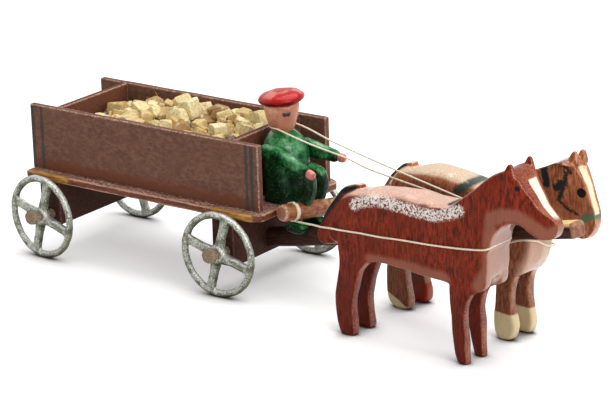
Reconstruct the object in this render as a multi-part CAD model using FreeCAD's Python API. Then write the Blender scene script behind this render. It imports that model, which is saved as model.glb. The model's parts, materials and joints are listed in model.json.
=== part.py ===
import FreeCAD, Part
import math
import os

# A small wooden toy: a board wagon with a loaded box and cast four-spoke wheels, a seated peg driver,
# and a pair of carved horses on one pole. Millimetres. X runs forward, Y to the driver's left, Z up from
# the floor. Pieces are built round the middle of the wagon, halfway between the axles, and moved at the
# end so that the origin lies on the floor under the middle of the whole toy.

# --- wheels and their pegs ---
wheelDiameter = 24.0
wheelGap = 1.9                # from the floor's edge to a rim's mid plane
rimWidth = 1.9
rimDepth = 2.0                # how thick the rim is, measured inward
spokeWidth = 2.0
spokeThickness = 1.3
spokeLead = 16.0              # degrees: the first spoke points forward and down
hubDiameter = 5.4
hubLength = 2.8
boreClearance = 0.06          # radial, between a wheel's bore and its peg
pegDiameter = 2.6
pegHeadDiameter = 4.2
pegHeadLength = 1.8
pegHeadGap = 1.0              # room left for the hub to slide along its peg
pegDepth = 5.0                # how far a peg is driven into its bolster
rightRearToe = -5.0           # degrees: each peg was driven in a little crooked
rightFrontToe = 1.4
leftRearToe = 0.0
leftFrontToe = 0.0

# --- floor and bolsters ---
rearOverhang = 6.6            # floor behind the rear axle
frontOverhang = 12.6          # floor ahead of the front axle
ledgeWidth = 2.85             # floor left bare outside each side board
floorThickness = 2.1
floorRise = 0.2               # of the floor's top above the tops of the wheels
floorCorner = 3.4             # radius of the rubbed front corners
bolsterLength = 7.4           # fore and aft
bolsterEndInset = 1.9         # how far the bolsters' ends lie inside the floor's edges
rearBolsterBelow = 3.1        # height of the rear bolster below the axle
frontBolsterBelow = 4.5
frontBolsterSetback = 1.3     # the front pegs sit ahead of their bolster's middle

# --- box ---
boardLength = 80.4
boardHeight = 18.7
boardThickness = 1.9
boxWidth = 32.5               # over the outer faces of the side boards
boardRearMargin = 0.2         # floor left behind the side boards
boardFrontMargin = 1.6
rearBoardInset = 8.4          # from the side boards' rear ends to the rear board
frontBoardInset = 8.6         # from the side boards' front ends to the front board
loadSideDrop = 4.5            # of the heap's edge below the boards' tops
loadCrown = 3.6               # how much higher the heap is in the middle
loadShoulder = 7.0            # how far the heap's slope runs inward

# --- pole and swingletree ---
poleWidth = 4.8
poleLength = 115.0
poleRise = 13.2               # degrees
poleSwing = -9.4              # degrees: the pole leads to the driver's right
poleRootAhead = 2.0           # from the front axle
poleRootDrop = 0.6            # below the axle's height
poleTenon = 3.0               # the part of the pole held inside the front bolster
poleTipRadius = 1.1
barDiameter = 4.7
barLength = 29.0
barAhead = 16.6               # the near end's middle, from the front axle
barOut = 13.9                 # and from the wagon's middle plane
barRise = 0.3                 # and above the floor's top
barSwing = -11.0              # degrees from square to the wagon
barTilt = -7.4                # degrees: its left end hangs lower
barEndRadius = 0.85

# --- driver ---
driverAhead = 9.7             # from the front axle
driverY = -1.8
driverDepth = 10.8            # front to back
driverWidth = 12.4
waistHeight = 12.5            # from the seat to where the shoulders begin to round
shoulderHeight = 19.4         # from the seat to the neck
shoulderNarrowing = 0.8       # of the body's width where the shoulders are rounded
shoulderDrop = 2.2            # from the neck to the rounding of the shoulders
neckDiameter = 6.6
headDiameter = 9.8
headHeight = 7.8
headLean = 1.4                # the head sits a little behind the body's middle
capDiameter = 12.8
capThickness = 2.6
capEdgeRadius = 1.1
capTilt = 5.0                 # degrees
armThickness = 2.6
armHeight = 3.4
armSunk = 0.7                 # how far an arm is let into the coat
legThickness = 3.0
legSpread = 3.9               # from the driver's middle to each leg's middle
bootHeight = 3.5
bootTop = -4.6                # from the seat
bootHeel = 3.2                # ahead of the driver's middle
bootToe = 8.8
bootRadius = 0.6

# --- horses ---
horseHeight = 56.0            # to the tips of the ears
horseWidth = 10.0
legPlate = 2.9                # thickness of a leg
backRadius = 2.4              # of the rounded back and belly edges
earInset = 1.2                # from the side of the head to an ear's middle
earFootRadius = 1.9
earTipRadius = 0.5
earHeight = 4.4
taperStart = 26.0             # from a horse's middle to where its head begins to narrow
taperLength = 18.0            # from there to the nose
tailThickness = 3.4
horseAhead = 67.5             # from the front axle to the horses' middle
rightHorseGap = 7.3           # from the pole's middle line to the right horse's inner face
leftHorseGap = 4.3
rightHorseYaw = -3.0          # degrees
leftHorseYaw = -8.0
rightFaceWidth = 8.8          # across the nose
leftFaceWidth = 5.0

# --- thread ---
threadDiameter = 0.4
threadBend = 0.9              # how early a tight thread starts to turn round a corner
threadOff = 0.45              # from a wooden face to the middle of the thread that lies along it
loopGap = 1.2                 # between the driver's neck and the reins behind it
tieInset = 4.5                # from the swingletree's ends to the traces
traceSag = 1.2                # of the trace below the pole, where it passes to the left horse

wheelRadius = wheelDiameter / 2
floorTop = wheelDiameter + floorRise
floorUnder = floorTop - floorThickness
boardTop = floorTop + boardHeight
boxInner = boxWidth / 2 - boardThickness
floorWidth = boxWidth + 2 * ledgeWidth
floorLength = boardRearMargin + boardLength + boardFrontMargin
wheelBase = floorLength - rearOverhang - frontOverhang
wheelTrack = floorWidth + 2 * wheelGap
axleX = wheelBase / 2
floorRear = -axleX - rearOverhang
floorFront = axleX + frontOverhang
bolsterEnd = floorWidth / 2 - bolsterEndInset
boardRear = floorRear + boardRearMargin
boardFront = boardRear + boardLength
rearBoardOuter = boardRear + rearBoardInset
frontBoardOuter = boardFront - frontBoardInset
pegRadius = pegDiameter / 2
upAxis = FreeCAD.Vector(0, 0, 1)
acrossAxis = FreeCAD.Vector(0, 1, 0)
centre = FreeCAD.Vector(0, 0, 0)
pieces = {}


def vec(x, y, z):
    return FreeCAD.Vector(x, y, z)


def block(xLow, xHigh, yLow, yHigh, zLow, zHigh):
    return Part.makeBox(xHigh - xLow, yHigh - yLow, zHigh - zLow, vec(xLow, yLow, zLow))


def softBlock(xLow, xHigh, yLow, yHigh, zLow, zHigh, radius):
    shape = block(xLow, xHigh, yLow, yHigh, zLow, zHigh)
    return shape.makeFillet(radius, shape.Edges)


def turned(shape, axis, degrees, about=centre):
    copy = shape.copy()
    copy.rotate(about, axis, degrees)
    return copy


def moved(shape, x, y, z):
    copy = shape.copy()
    copy.translate(vec(x, y, z))
    return copy


def sidePlate(outline, thickness, middleY):
    # a flat plate in the XZ plane, cut to a smooth closed outline
    points = [vec(x, middleY - thickness / 2, z) for x, z in outline]
    curve = Part.BSplineCurve()
    curve.interpolate(points, PeriodicFlag=True)
    face = Part.Face(Part.Wire([curve.toShape()]))
    return face.extrude(vec(0, thickness, 0))


def ellipseWire(x, y, z, alongX, alongY):
    # every ring starts at its front, so that lofts through them don't twist
    points = []
    for step in range(8):
        angle = math.radians(45 * step)
        points.append(vec(x + alongX * math.cos(angle), y + alongY * math.sin(angle), z))
    curve = Part.BSplineCurve()
    curve.interpolate(points, PeriodicFlag=True)
    return Part.Wire([curve.toShape()])


# --- wheels ---
def makeWheel():
    # built round the Y axis, then lifted to its peg
    start = vec(0, -rimWidth / 2, 0)
    rim = Part.makeCylinder(wheelRadius, rimWidth, start, acrossAxis)
    rim = rim.cut(Part.makeCylinder(wheelRadius - rimDepth, rimWidth, start, acrossAxis))
    wheel = rim.fuse(Part.makeCylinder(hubDiameter / 2, hubLength, vec(0, -hubLength / 2, 0), acrossAxis))
    reach = wheelRadius - rimDepth / 2
    flat = spokeThickness / 2
    for turn in range(2):
        spoke = block(-reach, reach, -flat, flat, -spokeWidth / 2, spokeWidth / 2)
        wheel = wheel.fuse(turned(spoke, acrossAxis, spokeLead + 90 * turn))
    bore = Part.makeCylinder(pegRadius + boreClearance, 2 * hubLength, vec(0, -hubLength, 0), acrossAxis)
    return wheel.cut(bore).removeSplitter()


def makePeg(side):
    # its middle is the rim's mid plane, and side is -1 on the right and +1 on the left
    headStart = hubLength / 2 + pegHeadGap
    inward = wheelTrack / 2 - bolsterEnd + pegDepth
    headRadius = pegHeadDiameter / 2
    shank = Part.makeCylinder(pegRadius, inward + headStart, vec(0, -side * inward, 0), vec(0, side, 0))
    head = Part.makeCylinder(headRadius, pegHeadLength, vec(0, side * headStart, 0), vec(0, side, 0))
    return shank.fuse(head).removeSplitter()


corners = {
    "right_rear": (-axleX, -1, rightRearToe),
    "right_front": (axleX, -1, rightFrontToe),
    "left_rear": (-axleX, 1, leftRearToe),
    "left_front": (axleX, 1, leftFrontToe),
}
for corner, (x, side, toe) in corners.items():
    wheel = turned(makeWheel(), upAxis, toe)
    pieces[corner + "_wheel"] = moved(wheel, x, side * wheelTrack / 2, wheelRadius)
    peg = turned(makePeg(side), upAxis, toe)
    pieces[corner + "_peg"] = moved(peg, x, side * wheelTrack / 2, wheelRadius)


# --- pole, with its tenon in the front bolster ---
def makePole():
    half = poleWidth / 2
    pole = block(-poleTenon, poleLength, -half, half, -half, half)
    tipEdges = [edge for edge in pole.Edges if edge.BoundBox.XMax > poleLength - 0.01]
    pole = pole.makeFillet(poleTipRadius, tipEdges)
    pole = turned(pole, acrossAxis, -poleRise)
    return turned(pole, upAxis, poleSwing)


poleRootX = axleX + poleRootAhead
poleRootZ = wheelRadius - poleRootDrop
pole = moved(makePole(), poleRootX, 0, poleRootZ)
pieces["pole"] = pole


def poleLineY(x):
    # where the pole's middle line is, seen from above
    return (x - poleRootX) * math.tan(math.radians(poleSwing))


def poleSurface(x, out, side):
    # a thread's middle on top of the pole, or under it when side is -1, and so far out to its left
    ahead = (x - poleRootX) / math.cos(math.radians(poleSwing))
    slope = math.radians(poleRise)
    off = (poleWidth / 2 + threadOff) / math.cos(slope)
    return (x, poleLineY(x) + out, poleRootZ + ahead * math.tan(slope) + side * off)


# --- floor and bolsters ---
def makeBolster(middleX, below, held):
    half = bolsterLength / 2
    bolster = block(middleX - half, middleX + half, -bolsterEnd, bolsterEnd, wheelRadius - below, floorUnder)
    for piece in held:
        bolster = bolster.cut(piece)
    return bolster


def makeFloor():
    board = block(floorRear, floorFront, -floorWidth / 2, floorWidth / 2, floorUnder, floorTop)
    uprights = [edge for edge in board.Edges
                if edge.BoundBox.XMin > floorFront - 0.01 and edge.BoundBox.ZLength > floorThickness / 2]
    return board.makeFillet(floorCorner, uprights)


rearPegs = [pieces["right_rear_peg"], pieces["left_rear_peg"]]
frontPegs = [pieces["right_front_peg"], pieces["left_front_peg"]]
pieces["rear_bolster"] = makeBolster(-axleX, rearBolsterBelow, rearPegs)
pieces["front_bolster"] = makeBolster(axleX - frontBolsterSetback, frontBolsterBelow, frontPegs + [pole])
floorBoard = makeFloor()
pieces["floor_board"] = floorBoard

# --- box ---
for name, side in (("right_side_board", -1), ("left_side_board", 1)):
    edges = sorted([side * boxInner, side * boxWidth / 2])
    pieces[name] = block(boardRear, boardFront, edges[0], edges[1], floorTop, boardTop)
rearBoardInner = rearBoardOuter + boardThickness
frontBoardInner = frontBoardOuter - boardThickness
pieces["rear_end_board"] = block(rearBoardOuter, rearBoardInner, -boxInner, boxInner, floorTop, boardTop)
pieces["front_end_board"] = block(frontBoardInner, frontBoardOuter, -boxInner, boxInner, floorTop, boardTop)


def makeLoad():
    # a heap that fills the box, low at the boards and crowned in the middle
    heapEdge = boardTop - loadSideDrop
    base = block(rearBoardInner, frontBoardInner, -boxInner, boxInner, floorTop, heapEdge)

    def ring(inset, height):
        rear = rearBoardInner + inset
        front = frontBoardInner - inset
        half = boxInner - inset
        points = [vec(rear, -half, height), vec(front, -half, height), vec(front, half, height),
                  vec(rear, half, height), vec(rear, -half, height)]
        return Part.makePolygon(points)

    crown = Part.makeLoft([ring(0, heapEdge), ring(loadShoulder, heapEdge + loadCrown)], True, True)
    return base.fuse(crown).removeSplitter()


pieces["ore_load"] = makeLoad()

# --- driver ---
driverX = axleX + driverAhead
neckZ = floorTop + shoulderHeight
headX = driverX - headLean


def makeTorso():
    half = driverDepth / 2
    wide = driverWidth / 2
    neck = neckDiameter / 2
    rings = [ellipseWire(driverX, driverY, floorTop, half, wide),
             ellipseWire(driverX, driverY, floorTop + waistHeight / 2, half, wide),
             ellipseWire(driverX, driverY, floorTop + waistHeight, half, wide),
             ellipseWire(driverX, driverY, neckZ - shoulderDrop,
                         half * shoulderNarrowing, wide * shoulderNarrowing),
             ellipseWire(headX, driverY, neckZ, neck, neck)]
    return Part.makeLoft(rings, True, False)


def makeCap(head, base):
    cap = Part.makeCylinder(capDiameter / 2, capThickness, vec(headX, driverY, base))
    cap = cap.makeFillet(capEdgeRadius, [edge for edge in cap.Edges if edge.Closed])
    return turned(cap, vec(-0.6, 1, 0), -capTilt, vec(headX, driverY, base)).cut(head)


torso = makeTorso()
head = Part.makeCone(neckDiameter / 2, headDiameter / 2, headHeight, vec(headX, driverY, neckZ))
pieces["driver_coat"] = torso
pieces["driver_head"] = head
pieces["driver_cap"] = makeCap(head, neckZ + headHeight)


def limb(path, thickness, height):
    # a flat carved arm or leg: rounded links from joint to joint
    shape = None
    for (startX, startZ), (endX, endZ) in zip(path, path[1:]):
        length = math.hypot(endX - startX, endZ - startZ)
        angle = math.degrees(math.atan2(endZ - startZ, endX - startX))
        link = block(0, length, -thickness / 2, thickness / 2, -height / 2, height / 2)
        for end in (0, length):
            joint = Part.makeCylinder(height / 2, thickness, vec(end, -thickness / 2, 0), acrossAxis)
            link = link.fuse(joint)
        link = moved(turned(link, acrossAxis, -angle), startX, 0, startZ)
        shape = link if shape is None else shape.fuse(link)
    return shape.removeSplitter()


# arms are drawn from the neck, legs from the seat
armOut = driverWidth / 2 + armThickness / 2 - armSunk
leftHand = (13.4, -7.5)
rightArm = limb([(-2.3, -3.0), (11.8, -8.2)], armThickness, armHeight)
leftArm = limb([(0.8, -5.4), leftHand], armThickness, armHeight)
pieces["driver_right_arm"] = moved(rightArm, driverX, driverY - armOut, neckZ).cut(torso)
pieces["driver_left_arm"] = moved(leftArm, driverX, driverY + armOut, neckZ).cut(torso)

barNearEnd = vec(axleX + barAhead, -barOut, floorTop + barRise)
bar = Part.makeCylinder(barDiameter / 2, barLength, centre, acrossAxis)
bar = bar.makeFillet(barEndRadius, [edge for edge in bar.Edges if edge.Closed])
bar = turned(turned(bar, vec(1, 0, 0), barTilt), upAxis, barSwing)
bar = moved(bar, barNearEnd.x, barNearEnd.y, barNearEnd.z)
pieces["swingletree"] = bar

rightLegPath = [(2.8, 9.3), (10.4, 8.8), (9.4, 3.6), (5.4, -1.0), (5.0, -5.6)]
leftLegPath = [(2.8, 7.6), (8.6, 7.2), (9.2, 3.4), (5.4, -1.0), (5.0, -5.6)]
halfLeg = legThickness / 2
boot = softBlock(bootHeel, bootToe, -halfLeg, halfLeg, bootTop - bootHeight, bootTop, bootRadius)
for name, side, path in (("driver_right_leg", -1, rightLegPath), ("driver_left_leg", 1, leftLegPath)):
    leg = limb(path, legThickness, legThickness).fuse(boot)
    piece = moved(leg, driverX, driverY + side * legSpread, floorTop)
    for neighbour in (torso, bar, pole, floorBoard):
        piece = piece.cut(neighbour)
    # what is left is the leg and some crumbs behind the bar
    pieces[name] = max(piece.Solids, key=lambda solid: solid.Volume)

# --- horses, drawn 56 mm high with their middle over the origin ---
drawnHeight = 56.0
rightOutlines = {
    "torso": [(-23.2, 25), (-23.2, 31), (-22.4, 35.6), (-19.4, 38.8), (-13, 40.4), (-4, 41.2), (5, 41.2),
              (13, 41.2), (20, 40), (25.2, 36.6), (25.4, 29), (24.4, 23.8), (20, 20), (12, 20.8), (4, 21.2),
              (-4, 21.9), (-12, 21.4), (-17, 19.8), (-21.5, 20)],
    "neck": [(6, 39.2), (12.5, 41.4), (16.5, 43.8), (20.6, 47), (25.4, 50.8), (29.4, 53.2), (32.2, 53.6),
             (34.2, 52), (36.4, 48.4), (39.6, 44.9), (43.2, 41.6), (43.6, 39.4), (42, 37.6), (39.6, 37),
             (36.6, 37.8), (33.6, 39.6), (30, 39.4), (27, 36), (24, 30), (14, 30)],
    "hind": [(-22.8, 26), (-22.9, 19), (-24.1, 12), (-24.3, 6), (-23, 0.5), (-20.6, 0), (-18.2, 0.5),
             (-18.5, 5), (-18.5, 9), (-17.5, 13.5), (-15.9, 18), (-13, 23), (-15, 29), (-20, 29)],
    "fore": [(13, 24), (12.9, 16.5), (13.2, 11), (13.9, 5.5), (15, 0.5), (16.5, 0), (18, 0.5), (17.8, 8),
             (17.7, 14), (19.6, 18.8), (24, 23), (24, 28), (18, 30), (13, 29)],
    "tail": [(-17.5, 38.8), (-20.6, 39.2), (-24.2, 38.2), (-27.2, 34.4), (-29.8, 30.8), (-31.8, 27.4),
             (-32.6, 24.8), (-31.8, 22.8), (-29.8, 22.2), (-26, 23), (-20, 25)],
}
leftOutlines = {
    "torso": [(-23.4, 24), (-24, 30), (-23.2, 35), (-20.4, 38.2), (-15, 39.6), (-8, 40.6), (0, 40.4), (8, 40),
              (16, 40.2), (22, 38), (25.6, 33), (25.2, 25), (22.2, 19.4), (17, 18.6), (8, 19.8), (0, 20.4),
              (-8, 20.6), (-15, 19), (-20, 18.8)],
    "neck": [(6, 37.8), (14, 40.6), (20.5, 44.4), (26.5, 47.6), (31, 49.8), (35.4, 51.6), (38.4, 50.6),
             (40.4, 47.2), (42.2, 42.6), (43.8, 38.2), (43.4, 34.6), (41.2, 31.6), (38.6, 31), (35.8, 33.4),
             (31, 36), (27.6, 34), (24, 28), (14, 28)],
    "hind": [(-23.2, 25), (-23.6, 18), (-24.5, 11), (-24.6, 5), (-23.4, 1.2), (-20.6, 0), (-17.2, 0.6),
             (-16.3, 3), (-17.2, 8), (-17.2, 13), (-15.4, 18.5), (-13, 23), (-15, 29), (-20, 29)],
    "fore": [(13.6, 24), (13.8, 15), (13.4, 8), (13.1, 3.4), (14.6, 0.3), (17, 0), (19.4, 0.9), (20.2, 4.6),
             (19.2, 10), (19.4, 15), (21.4, 20), (24, 26), (18, 30), (13, 29)],
    "tail": [(-17.5, 38.6), (-20.2, 39.0), (-22.4, 38.2), (-24.4, 36.4), (-26.8, 33.8), (-29.4, 30.4),
             (-31.2, 27.4), (-31.8, 24.8), (-31, 22.8), (-28.8, 22.4), (-25.6, 23), (-20, 25)],
}
horseScale = horseHeight / drawnHeight


def makeHorse(outlines, faceWidth, earX, earFoot):
    half = horseWidth / 2
    grown = {}
    for name, outline in outlines.items():
        grown[name] = [(x * horseScale, z * horseScale) for x, z in outline]
    reach = 2 * horseHeight
    heights = [z for x, z in grown["torso"]]
    # the front view of the blank rounds the back and the belly
    blank = softBlock(-reach, reach, -half, half, min(heights) - 0.2, max(heights) + 0.2, backRadius)
    horse = sidePlate(grown["torso"], horseWidth, 0).common(blank)
    neck = sidePlate(grown["neck"], horseWidth, 0)
    # a slanting cut down each side narrows the head towards the nose
    cutStart = taperStart * horseScale
    taper = math.degrees(math.atan2(half - faceWidth / 2, taperLength * horseScale))
    for side in (-1, 1):
        spare = sorted([side * half, side * horseWidth])
        shaving = block(-cutStart, reach, spare[0], spare[1], 0, horseHeight)
        shaving = turned(shaving, upAxis, -side * taper, vec(0, side * half, 0))
        neck = neck.cut(moved(shaving, cutStart, 0, 0))
    horse = horse.fuse(neck)
    horse = horse.fuse(sidePlate(grown["tail"], tailThickness, 0))
    earMiddle = half - (earX * horseScale - cutStart) * math.tan(math.radians(taper)) - earInset
    for side in (-1, 1):
        middle = side * (half - legPlate / 2)
        horse = horse.fuse(sidePlate(grown["hind"], legPlate, middle))
        horse = horse.fuse(sidePlate(grown["fore"], legPlate, middle))
        foot = vec(earX * horseScale, side * earMiddle, earFoot * horseScale)
        ear = Part.makeCone(earFootRadius, earTipRadius, earHeight * horseScale, foot, upAxis)
        horse = horse.fuse(ear)
    # level every hoof on the floor
    horse = horse.cut(block(-reach, reach, -reach, reach, -horseHeight, 0))
    return horse.removeSplitter()


horseX = axleX + horseAhead
rightHorseY = poleLineY(horseX) - rightHorseGap - horseWidth / 2
leftHorseY = poleLineY(horseX) + leftHorseGap + horseWidth / 2


def placeHorse(horse, yaw, y):
    return moved(turned(horse, upAxis, yaw), horseX, y, 0)


rightHorse = makeHorse(rightOutlines, rightFaceWidth, 31.0, 51.4)
leftHorse = makeHorse(leftOutlines, leftFaceWidth, 37.2, 50.0)
pieces["right_horse"] = placeHorse(rightHorse, rightHorseYaw, rightHorseY)
pieces["left_horse"] = placeHorse(leftHorse, leftHorseYaw, leftHorseY)


# --- thread ---
def roundedPath(points, bend):
    # straight runs joined by arcs that touch both runs
    edges = []
    last = points[0]
    for before, corner, after in zip(points, points[1:], points[2:]):
        toBefore = before - corner
        toAfter = after - corner
        cut = min(bend, toBefore.Length * 0.45, toAfter.Length * 0.45)
        toBefore.normalize()
        toAfter.normalize()
        halfAngle = toBefore.getAngle(toAfter) / 2
        start = corner + toBefore * cut
        end = corner + toAfter * cut
        bisector = toBefore + toAfter
        bisector.normalize()
        radius = cut * math.tan(halfAngle)
        middle = corner + bisector * (cut / math.cos(halfAngle))
        edges.append(Part.LineSegment(last, start).toShape())
        edges.append(Part.Arc(start, middle - bisector * radius, end).toShape())
        last = end
    edges.append(Part.LineSegment(last, points[-1]).toShape())
    return Part.Wire(edges)


def makeThread(route):
    points = [vec(*point) for point in route]
    circle = Part.Circle(points[0], points[1] - points[0], threadDiameter / 2)
    section = Part.Wire([circle.toShape()])
    return roundedPath(points, threadBend).makePipeShell([section], True, False)


def onHorse(y, yaw, along, side, height):
    # a point on a horse's side, or off its middle line when side is a distance
    angle = math.radians(yaw)
    return (horseX + along * horseScale * math.cos(angle) - side * math.sin(angle),
            y + along * horseScale * math.sin(angle) + side * math.cos(angle), height * horseScale)


def onRight(along, side, height):
    return onHorse(rightHorseY, rightHorseYaw, along, side, height)


def onLeft(along, side, height):
    return onHorse(leftHorseY, leftHorseYaw, along, side, height)


def underBar(along):
    # a thread's middle just under the swingletree, measured from its near end
    swing = math.radians(barSwing)
    tilt = math.radians(barTilt)
    off = (barDiameter / 2 + threadOff) / math.cos(tilt)
    return (barNearEnd.x - along * math.sin(swing) * math.cos(tilt),
            barNearEnd.y + along * math.cos(swing) * math.cos(tilt),
            barNearEnd.z + along * math.sin(tilt) - off)


def leavingBar(along):
    # the thread comes out from under the swingletree before it climbs
    x, y, z = underBar(along)
    ahead = barDiameter * 0.6
    return (x + ahead * math.cos(math.radians(barSwing)), y + ahead * math.sin(math.radians(barSwing)), z)


def neckLoop(degrees, rise):
    # the reins pass behind the driver's neck
    loopRadius = neckDiameter / 2 + loopGap
    angle = math.radians(degrees)
    return (headX + loopRadius * math.cos(angle), driverY + loopRadius * math.sin(angle), neckZ + rise)


beside = horseWidth / 2 + threadOff
beyondHand = (driverX + leftHand[0] + 3.2, driverY + 3.3, neckZ + leftHand[1])
overChest = (driverX + 13.5, driverY + 1.8, neckZ - 1.4)
reinRoute = [poleSurface(horseX + 21, 0, 1), (horseX + 5, poleLineY(horseX + 5) - 0.4, 36.7 * horseScale),
             onLeft(-20, -beside - 1, 37.2), beyondHand,
             neckLoop(-70, 0.8), neckLoop(-130, 1.0), neckLoop(170, 1.2), neckLoop(110, 1.2), neckLoop(55, 1.2),
             overChest, onLeft(-17.5, -beside - 1, 39.2),
             (horseX + 7, poleLineY(horseX + 7) - 0.4, 37.7 * horseScale), poleSurface(horseX + 24, 0, 1)]
pieces["rein_thread"] = makeThread(reinRoute)
besideTail = tailThickness / 2 + 2.6 * threadOff
# between the horses the trace hangs just below the pole, however high the pole or the horses are
innerX, innerY = onLeft(15, -beside, 0)[:2]
belowPole = (innerX, innerY, poleSurface(innerX, 0, -1)[2] - traceSag)
traceRoute = [underBar(tieInset), leavingBar(tieInset), onRight(-32.4, -besideTail, 26.5),
              onRight(-24.5, -beside, 28.6), onRight(16, -beside, 31.1), onRight(26.3, -beside, 32.7), onRight(26.3, beside, 32.4),
              poleSurface(horseX + 18, -poleWidth * 0.6, -1), belowPole,
              onLeft(26.6, -beside, 29.8), onLeft(26.6, 0, 27), onLeft(26.6, beside, 25.6),
              onLeft(-24.5, beside, 25), leavingBar(barLength - tieInset),
              underBar(barLength - tieInset)]
pieces["trace_thread"] = makeThread(traceRoute)

# --- the whole toy moves so that the origin is under its middle ---
whole = FreeCAD.BoundBox()
for piece in pieces.values():
    whole.add(piece.optimalBoundingBox(False))
os.makedirs("parts", exist_ok=True)
for name, piece in pieces.items():
    moved(piece, -whole.Center.x, -whole.Center.y, 0).exportStep("parts/" + name + ".step")
    print(name, round(piece.Volume, 2), len(piece.Solids))
print("moved by", round(-whole.Center.x, 4), round(-whole.Center.y, 4), "lowest", round(whole.ZMin, 4))
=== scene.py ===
import json
import math
import random

import bpy
import numpy as np
from mathutils import Matrix, Vector, geometry, noise


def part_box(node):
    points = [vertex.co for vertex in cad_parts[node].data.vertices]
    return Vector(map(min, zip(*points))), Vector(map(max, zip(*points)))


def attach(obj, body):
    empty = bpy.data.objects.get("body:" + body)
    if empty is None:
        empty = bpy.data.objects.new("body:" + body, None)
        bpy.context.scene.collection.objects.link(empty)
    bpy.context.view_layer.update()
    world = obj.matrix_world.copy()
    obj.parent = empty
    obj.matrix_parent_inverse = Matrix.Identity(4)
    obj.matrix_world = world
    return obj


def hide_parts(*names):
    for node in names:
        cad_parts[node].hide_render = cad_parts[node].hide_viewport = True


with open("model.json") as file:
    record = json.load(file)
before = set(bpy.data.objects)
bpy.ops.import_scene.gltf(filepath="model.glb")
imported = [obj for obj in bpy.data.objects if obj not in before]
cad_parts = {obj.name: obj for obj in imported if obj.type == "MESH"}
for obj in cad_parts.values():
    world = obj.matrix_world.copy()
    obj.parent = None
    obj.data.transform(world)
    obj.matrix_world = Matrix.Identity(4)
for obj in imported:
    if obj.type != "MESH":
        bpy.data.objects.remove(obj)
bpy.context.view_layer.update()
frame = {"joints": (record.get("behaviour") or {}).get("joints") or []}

mm = 0.001
joints = {joint["name"]: joint for joint in frame["joints"]}
wheelNames = ("right_rear", "right_front", "left_rear", "left_front")
axlePoints = {name: np.array(joints[name + "_wheel_spin"]["pos_m"]) / mm for name in wheelNames}
middle = sum(axlePoints.values()) / 4
middle[2] = 0  # the wagon's middle on the floor, where every position below starts


def span(node):
    # a CAD node's lowest and highest corner in millimetres from the wagon's middle
    low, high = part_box(node)
    return np.array(low) / mm - middle, np.array(high) / mm - middle


# ---------------------------------------------------------------- shader sums
class Wire:
    def __init__(self, finish, socket):
        self.finish = finish
        self.socket = socket

    def join(self, operation, other=None, flip=False, third=None):
        first, second = (other, self) if flip else (self, other)
        inputs = {0: first}
        if second is not None:
            inputs[1] = second
        if third is not None:
            inputs[2] = third
        return self.finish.node("ShaderNodeMath", {"operation": operation}, inputs)

    def __add__(self, other):
        return self.join("ADD", other)

    def __sub__(self, other):
        return self.join("SUBTRACT", other)

    def __mul__(self, other):
        return self.join("MULTIPLY", other)

    def __truediv__(self, other):
        return self.join("DIVIDE", other)

    def __rsub__(self, other):
        return self.join("SUBTRACT", other, flip=True)

    def __rtruediv__(self, other):
        return self.join("DIVIDE", other, flip=True)

    def __neg__(self):
        return self.join("MULTIPLY", -1.0)

    def __abs__(self):
        return self.join("ABSOLUTE")

    __radd__ = __add__
    __rmul__ = __mul__

    def least(self, other):
        return self.join("MINIMUM", other)

    def most(self, other):
        return self.join("MAXIMUM", other)

    def rise(self, start, end):
        # 0 below start and 1 above end, or the other way round when end is lower
        low, high = min(start, end), max(start, end)
        edge = self.finish.node("ShaderNodeMapRange", {"interpolation_type": "SMOOTHSTEP"},
                                {"Value": self, "From Min": low, "From Max": high})
        return edge if end > start else 1 - edge

    def power(self, exponent):
        return self.join("POWER", exponent)


def shade(red, green, blue):
    # a colour given the way a paint chart does, turned into linear light
    linear = []
    for level in (red, green, blue):
        level = level / 255
        linear.append(level / 12.92 if level < 0.04045 else ((level + 0.055) / 1.055) ** 2.4)
    return (*linear, 1.0)


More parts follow.
